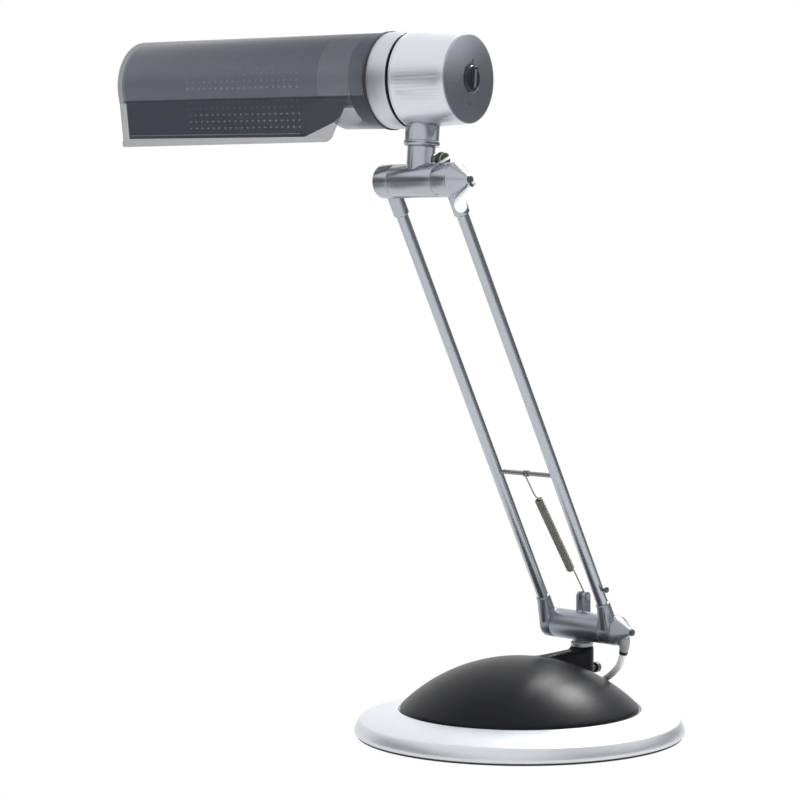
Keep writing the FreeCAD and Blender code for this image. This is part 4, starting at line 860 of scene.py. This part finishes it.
def perforate(test, width):
    """In edit mode, makes an eight-sided hole in each face of a flat grid that passes a test."""
    mark("FACE", test)
    bpy.ops.mesh.inset(thickness=(HOLE_ROW - width) / 2, use_individual=True)
    bpy.ops.mesh.bevel(offset=width * 0.29, affect="VERTICES")
    mark_small_faces((width * 1.4) ** 2)
    bpy.ops.mesh.delete(type="FACE")


def reflector():
    length = SHEET_RIGHT - REFLECTOR_LEFT
    width = SHEET_ARC + FLAP_DROP
    sheet = start("grid", "reflector_sheet", size=1, x_subdivisions=round(length / HOLE_COLUMN),
                  y_subdivisions=round(width / HOLE_ROW))
    carve(sheet)
    bpy.ops.transform.resize(value=(length, width, 1))
    bpy.ops.transform.translate(value=((REFLECTOR_LEFT + SHEET_RIGHT) / 2, width / 2, 0))
    mark("FACE", lambda place: place.x - HOLE_COLUMN / 2 > sheet_edge(place.y - HOLE_ROW / 2))
    bpy.ops.mesh.delete(type="FACE")
    perforate(arc_hole, ARC_HOLE)
    perforate(flap_hole, FLAP_HOLE)
    done()
    for vertex in sheet.data.vertices:
        place = vertex.co
        vertex.co = reflector_place(min(place.x, sheet_edge(place.y)), place.y)
    carve(sheet)
    bpy.ops.mesh.select_all(action="SELECT")
    bpy.ops.mesh.remove_doubles(threshold=0.00001)
    done()
    apply_modifier(sheet, "SOLIDIFY", thickness=REFLECTOR_WALL, offset=0.0)
    flat_faces = len(sheet.data.polygons)
    bead = reflector_place((REFLECTOR_LEFT + BEAD_RIGHT) / 2, width - BEAD_UP)
    carve(sheet)
    bpy.ops.mesh.primitive_cylinder_add(vertices=12, radius=BEAD_RADIUS, depth=BEAD_RIGHT - REFLECTOR_LEFT,
                                        location=(bead.x, bead.y + BEAD_IN, bead.z),
                                        rotation=(0, math.radians(90), 0))
    done()
    smooth(sheet, 40)
    settle(sheet, HEAD, "reflector",
           finish=sheet_grey("sheet_grey", srgb(142, 147, 154), srgb(132, 137, 144)))
    # The flap part of the sheet is painted darker than the rest: painted shade
    paint(sheet, sheet_grey("flap_painted_shade", srgb(98, 98, 107), srgb(92, 92, 101)), HEAD,
          lambda place: place.y < FLAP_INSIDE and place.z < FOLD_HEIGHT)
    # The sheet's end inside the collar is painted near white: painted light showing through the collar
    paint(sheet, sheet_grey("collar_painted_light", srgb(240, 241, 244), srgb(230, 232, 236)), HEAD,
          lambda place: place.x > COLLAR_LEFT and place.z > FOLD_HEIGHT)
    # The bead along the flap's hem is painted near white: a painted highlight line
    add_finish(sheet, sheet_grey("bead_painted_highlight", srgb(236, 234, 244), srgb(228, 226, 238)),
               sheet.data.polygons[flat_faces:])


def mark_small_faces(area):
    """Selects the faces of eight sides that are smaller than an area."""
    mesh = bpy.context.edit_object.data
    bpy.ops.mesh.select_mode(type="FACE")
    bpy.ops.mesh.select_all(action="DESELECT")
    shape = bmesh.from_edit_mesh(mesh)
    for face in shape.faces:
        face.select_set(len(face.verts) == 8 and face.calc_area() < area)
    bmesh.update_edit_mesh(mesh)


# Balance spring, in a frame at its lower pin whose Z points to the crossbar
SPRING_PIN = LOWER_JOINT @ Vector((0, 0.0015, 0.021))
SPRING_BAR = ARM @ Vector((0, 0, 0.127))
SPRING_TURNS = 60
SPRING_PITCH = 0.001035
SPRING_RADIUS = 0.00265
SPRING_START = 0.0245
WIRE_RADIUS = 0.0005
PIN_HOOK = 0.0021
BAR_HOOK = 0.0016
HOOK_OPEN = 1.06
HOOK_STEPS = 6
TURN_SIDES = 12
WIRE_STRAIGHT = 0.003


def hook(centre, radius, first, last):
    """Points on an arc round a pin, from one angle to another."""
    points = []
    for number in range(HOOK_STEPS + 1):
        angle = math.radians(first + (last - first) * number / HOOK_STEPS)
        points.append(Vector((0, radius * math.cos(angle), centre + radius * math.sin(angle))))
    return points


def balance_spring():
    """The spring's wire: a hook round the lower pin, the coil, and a hook round the crossbar."""
    way = (SPRING_BAR - SPRING_PIN).normalized()
    length = (SPRING_BAR - SPRING_PIN).length
    points = hook(0, PIN_HOOK * HOOK_OPEN, -240, 0)
    points.append(Vector((0, PIN_HOOK, SPRING_START * 0.5)))
    points.append(Vector((0, PIN_HOOK, SPRING_START - WIRE_STRAIGHT)))
    for number in range(SPRING_TURNS * TURN_SIDES + 1):
        angle = 2 * math.pi * number / TURN_SIDES
        height = SPRING_START + SPRING_PITCH * number / TURN_SIDES
        points.append(Vector((SPRING_RADIUS * math.cos(angle), -SPRING_RADIUS * math.sin(angle), height)))
    top = SPRING_START + SPRING_PITCH * SPRING_TURNS
    points.append(Vector((0, -BAR_HOOK, top + WIRE_STRAIGHT)))
    points.append(Vector((0, -BAR_HOOK, (top + length) / 2)))
    points += hook(length, BAR_HOOK * HOOK_OPEN, 180, -40)
    curve = spline_through("balance_spring_wire", points, 2)
    wire = round_tube(curve, WIRE_RADIUS, 1)
    lay(wire, upright_frame(SPRING_PIN, ACROSS, way))
    give(spring_steel(), wire.name)
    SPRING_PIN + way * SPRING_START
    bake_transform(wire)
    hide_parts("balance_spring")


def tapered_tube(name, stations, resolution, sides):
    """A round tube through stations of place and radius, closed at both ends."""
    curve = spline_through(name, [Vector(place) for place, radius in stations], resolution)
    for target, (place, radius) in zip(curve.data.splines[0].points, stations):
        target.radius = radius / MM
    return round_tube(curve, MM, sides)


# Stations of the cable at the upper joint, in the joint's frame: place and radius
LEAD_STATIONS = [
    ((0.0484, -0.0002, -0.0020), 0.0008),
    ((0.0468, -0.0008, -0.0039), 0.0011),
    ((0.0424, -0.0024, -0.0074), 0.0021),
    ((0.0380, -0.0040, -0.0108), 0.0031),
    ((0.0340, -0.0034, -0.0145), 0.0039),
    ((0.0305, -0.0012, -0.0190), 0.0043),
    ((0.0288, 0.0, -0.0232), 0.0040),
    ((0.0285, 0.0, -0.0300), 0.0016),
    ((0.0285, 0.0, -0.0600), 0.0015),
    ((0.0285, 0.0, -0.2000), 0.0015),
    ((0.0285, 0.0, -0.3400), 0.0015),
]
# Stations of the mains lead's boot, in the lower joint's frame, from inside the cone
BOOT_STATIONS = [
    ((0.0385, 0.0005, 0.0050), 0.0030),
    ((0.0388, 0.0005, 0.0000), 0.0040),
    ((0.0393, 0.0005, -0.0050), 0.0041),
    ((0.0395, 0.0005, -0.0095), 0.0038),
    ((0.0390, 0.0006, -0.0125), 0.0033),
    ((0.0386, 0.0007, -0.0143), 0.0029),
]


def arm_lead():
    """The cable from the upper joint's tip, in its white tapered sleeve, down into the right tube."""
    lead = tapered_tube("arm_lead_sleeved", LEAD_STATIONS, 6, 6)
    settle(lead, upright_frame(UPPER, ACROSS, ARM_WAY), "arm_lead", finish=cord_white())


def cord_boot():
    boot = tapered_tube("cord_boot_moulded", BOOT_STATIONS, 6, 8)
    settle(boot, LOWER_JOINT, "cord_boot", finish=soft_grey())


# Pointer on the knob's grip, in the head's frame
POINTER_SIZE = (0.0004, 0.0021, 0.0122)
POINTER_OUT = 0.0399
POINTER_EDGE = 0.00035


def knob_pointer():
    bar = start("cube", "knob_pointer_inlaid", size=1)
    carve(bar)
    bpy.ops.transform.resize(value=POINTER_SIZE)
    bpy.ops.transform.translate(value=(POINTER_OUT, 0, 0))
    mark("EDGE", lambda place: abs(abs(place.y) - POINTER_SIZE[1] / 2) < 0.1 * MM)
    bpy.ops.mesh.bevel(offset=POINTER_EDGE, segments=3)
    done()
    smooth(bar)
    settle(bar, HEAD, "knob_pointer", finish=plain_steel("pointer_steel", srgb(206, 208, 210), HEAD, 0.3))


# Two small marks on the cap: a tick over the knob and a ring under it
MARK_HEIGHT = 0.0004
TICK_WIDTH = 0.0005
TICK_LENGTH = 0.0022
TICK_UP = 0.0118
RING_RADIUS = 0.0013
RING_DOWN = 0.0165
NEAR_POINTS = 24


def cap_marks():
    """The marks lie on the domed cap, found by looking along the head's axis."""
    marks = start("cube", "cap_marks", size=1)
    carve(marks)
    bpy.ops.transform.resize(value=(MARK_HEIGHT, TICK_WIDTH, TICK_LENGTH))
    bpy.ops.transform.translate(value=(cap_face(TICK_UP), 0, TICK_UP))
    bpy.ops.mesh.primitive_torus_add(major_segments=28, minor_segments=8, major_radius=RING_RADIUS,
                                     minor_radius=MARK_HEIGHT / 2, rotation=(0, math.radians(90), 0),
                                     location=(cap_face(RING_DOWN), 0, -RING_DOWN))
    bpy.ops.mesh.select_all(action="SELECT")
    bpy.ops.mesh.normals_make_consistent(inside=False)
    done()
    smooth(marks)
    lay(marks, HEAD)
    give(seal_black("mark_dark"), marks.name)
    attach(marks, BODY_OF["head_cap"])


def cap_face(distance):
    """How far out the cap's face is at a distance from the head's axis."""
    inverse = HEAD.inverted()
    corners = [inverse @ vertex.co for vertex in bpy.data.objects["head_cap"].data.vertices]
    corners.sort(key=lambda place: abs(math.hypot(place.y, place.z) - distance))
    return max(place.x for place in corners[:NEAR_POINTS])


round_edges()
plug()
mains_flex()
shade()
dome()
knob_pointer()
cap_marks()
reflector()
balance_spring()
arm_lead()
cord_boot()


# Floor, light and the pale background

def bearing(finish, vector):
    """A place's compass bearing as a share of the turn: 0 and 1 at -X, a quarter at -Y, a half at +X."""
    across, side = finish.parts(vector)[:2]
    return side.math("ARCTAN2", across) * (0.5 / math.pi) + 0.5


def make_floor():
    """A white sweep: bright wherever it is looked at, with the lamp's shadow close round the base."""
    floor = start("plane", "floor", size=FLOOR_SIZE)
    finish = Finish("floor_white", FLOOR_PAINT, 0.9)
    light = finish.node("Emission", values={"Strength": 1.0})
    paths = finish.tree.nodes.new("ShaderNodeLightPath").outputs
    glossy = Term(finish, paths["Is Glossy Ray"])
    seen = Term(finish, paths["Is Camera Ray"]) + Term(finish, paths["Is Transmission Ray"]) + glossy
    where = finish.place()
    distance = finish.node("VectorMath", {"operation": "LENGTH"}, {0: where}, output=1)
    far = clamped((distance - SHADOW_START) * (1 / (SHADOW_END - SHADOW_START)))
    share = clamped(seen) * (SHADOW_WHITE + far * (1 - SHADOW_WHITE))
    away = clamped((distance - CLOTH_START) * (1 / (CLOTH_END - CLOTH_START)))
    cloth = finish.node("ValToRGB", {"stops": CLOTH_BEARINGS}, {0: bearing(finish, where)})
    dimmed = clamped(1 - glossy * away * cloth)
    finish.put(light.socket.node.inputs["Color"], finish.tint(dimmed, FLOOR_CLOTH, WHITE))
    painted = Term(finish, finish.shader.outputs[0])
    mix = finish.node("MixShader", values={0: share, 1: painted, 2: light})
    output = finish.tree.nodes["Material Output"]
    finish.tree.links.new(mix.socket, output.inputs["Surface"])
    floor.data.materials.append(finish.material)


def make_cloths():
    """White and dark cloths hung round and over the set, seen only in polished surfaces."""
    cloths = start("uv_sphere", "cloths", segments=48, ring_count=24, radius=CLOTH_DISTANCE)
    finish = Finish("cloth_light", BLACK, 1.0, 0.0, Emission_Strength=1.0)
    where = finish.place()
    turn = bearing(finish, where)
    side = finish.node("ValToRGB", {"stops": HORIZON_BEARINGS}, {0: turn})
    over = finish.node("ValToRGB", {"stops": OVERHEAD_BEARINGS}, {0: turn})
    height = finish.parts(where)[2]
    lowest = finish.node("ValToRGB", {"stops": OVERHEAD_STARTS}, {0: turn})
    raised = clamped((height * (1 / CLOTH_DISTANCE) - lowest) * (1 / OVERHEAD_FADE))
    finish.set("Emission Color", finish.tint(raised, side, over))
    finish.material.cycles.emission_sampling = "NONE"
    cloths.data.materials.append(finish.material)
    cloths.visible_camera = False
    cloths.visible_diffuse = False
    cloths.visible_transmission = False
    cloths.visible_shadow = False


def make_world():
    """White to look at, and a little darker as the light that falls on the lamp."""
    world = bpy.data.worlds.new("studio")
    bpy.context.scene.world = world
    world.use_nodes = True
    tree = world.node_tree
    background = tree.nodes["Background"]
    paths = tree.nodes.new("ShaderNodeLightPath")
    colour = tree.nodes.new("ShaderNodeMix")
    colour.data_type = "RGBA"
    sockets = [socket for socket in colour.inputs if socket.type == "RGBA"]
    sockets[0].default_value = WHITE
    sockets[1].default_value = ROOM_LIGHT
    tree.links.new(paths.outputs["Is Diffuse Ray"], colour.inputs["Factor"])
    tree.links.new([socket for socket in colour.outputs if socket.type == "RGBA"][0],
                   background.inputs["Color"])


def add_softbox(name, place, target, width, height, power, shines):
    """A lamp panel in metres and watts; one that shines is also seen in polished surfaces."""
    data = bpy.data.lights.new(name, "AREA")
    data.shape = "RECTANGLE"
    data.size = width
    data.size_y = height
    data.energy = power
    lamp = bpy.data.objects.new(name, data)
    bpy.context.scene.collection.objects.link(lamp)
    lamp.location = place
    way = Vector(target) - Vector(place)
    lamp.rotation_mode = "QUATERNION"
    lamp.rotation_quaternion = way.to_track_quat("-Z", "Y")
    lamp.visible_glossy = shines


# The set, measured from the middle of the base, in metres
WHITE = (1, 1, 1, 1)
BLACK = (0, 0, 0, 1)
ROOM_LIGHT = (0.62, 0.63, 0.65, 1)
FLOOR_PAINT = (0.86, 0.86, 0.86, 1)
FLOOR_CLOTH = (0.12, 0.12, 0.13, 1)
FLOOR_SIZE = 14
SHADOW_START = 0.13
SHADOW_END = 0.40
SHADOW_WHITE = 0.88
CLOTH_START = 0.5
CLOTH_END = 1.0
CLOTH_DISTANCE = 5.0
OVERHEAD_FADE = 0.2
# Brightness by compass bearing, from -X round by -Y, +X and +Y to -X
HORIZON_BEARINGS = [
    (0.0, 1.0), (0.03, 0.9), (0.06, 0.10), (0.17, 0.05), (0.25, 0.10), (0.285, 0.75), (0.40, 0.70),
    (0.445, 0.06), (0.76, 0.05), (0.81, 1.0), (1.0, 1.0),
]
OVERHEAD_BEARINGS = [
    (0.0, 1.0), (0.42, 1.0), (0.48, 0.5), (0.55, 0.8), (0.68, 0.9), (0.74, 0.6), (0.82, 1.0),
]
# Sine of the elevation where the overhead brightness starts, by the same bearings
OVERHEAD_STARTS = [
    (0.0, 0.22), (0.04, 0.22), (0.08, 0.30), (0.16, 0.30), (0.20, 0.22), (0.56, 0.22), (0.60, 0.12),
    (0.65, 0.12), (0.69, 0.22),
]
# How far the dark cloth on the floor covers it, by the same bearings
CLOTH_BEARINGS = [
    (0.0, 0.0), (0.04, 0.0), (0.07, 0.85), (0.17, 0.85), (0.21, 0.0), (0.42, 0.0), (0.46, 1.0),
    (0.76, 1.0), (0.80, 0.0), (1.0, 0.0),
]

LAMP_MIDDLE = (-0.02, 0.0, 0.25)
BASE_MIDDLE = (0, 0, 0.05)
SOFTBOXES = [
    ("softbox_top", (-0.1, 0.1, 1.7), LAMP_MIDDLE, 1.6, 1.2, 13, False),
    ("softbox_right", (1.7, -0.35, 0.8), LAMP_MIDDLE, 0.8, 1.0, 5, False),
    ("softbox_left", (-1.3, -1.2, 1.0), LAMP_MIDDLE, 0.8, 1.0, 5, False),
    ("softbox_back", (-0.2, 1.1, 1.55), BASE_MIDDLE, 0.7, 0.5, 34, True),
]

make_cloths()
make_floor()
make_world()
for softbox in SOFTBOXES:
    add_softbox(*softbox)
bpy.context.scene.view_settings.view_transform = "Standard"
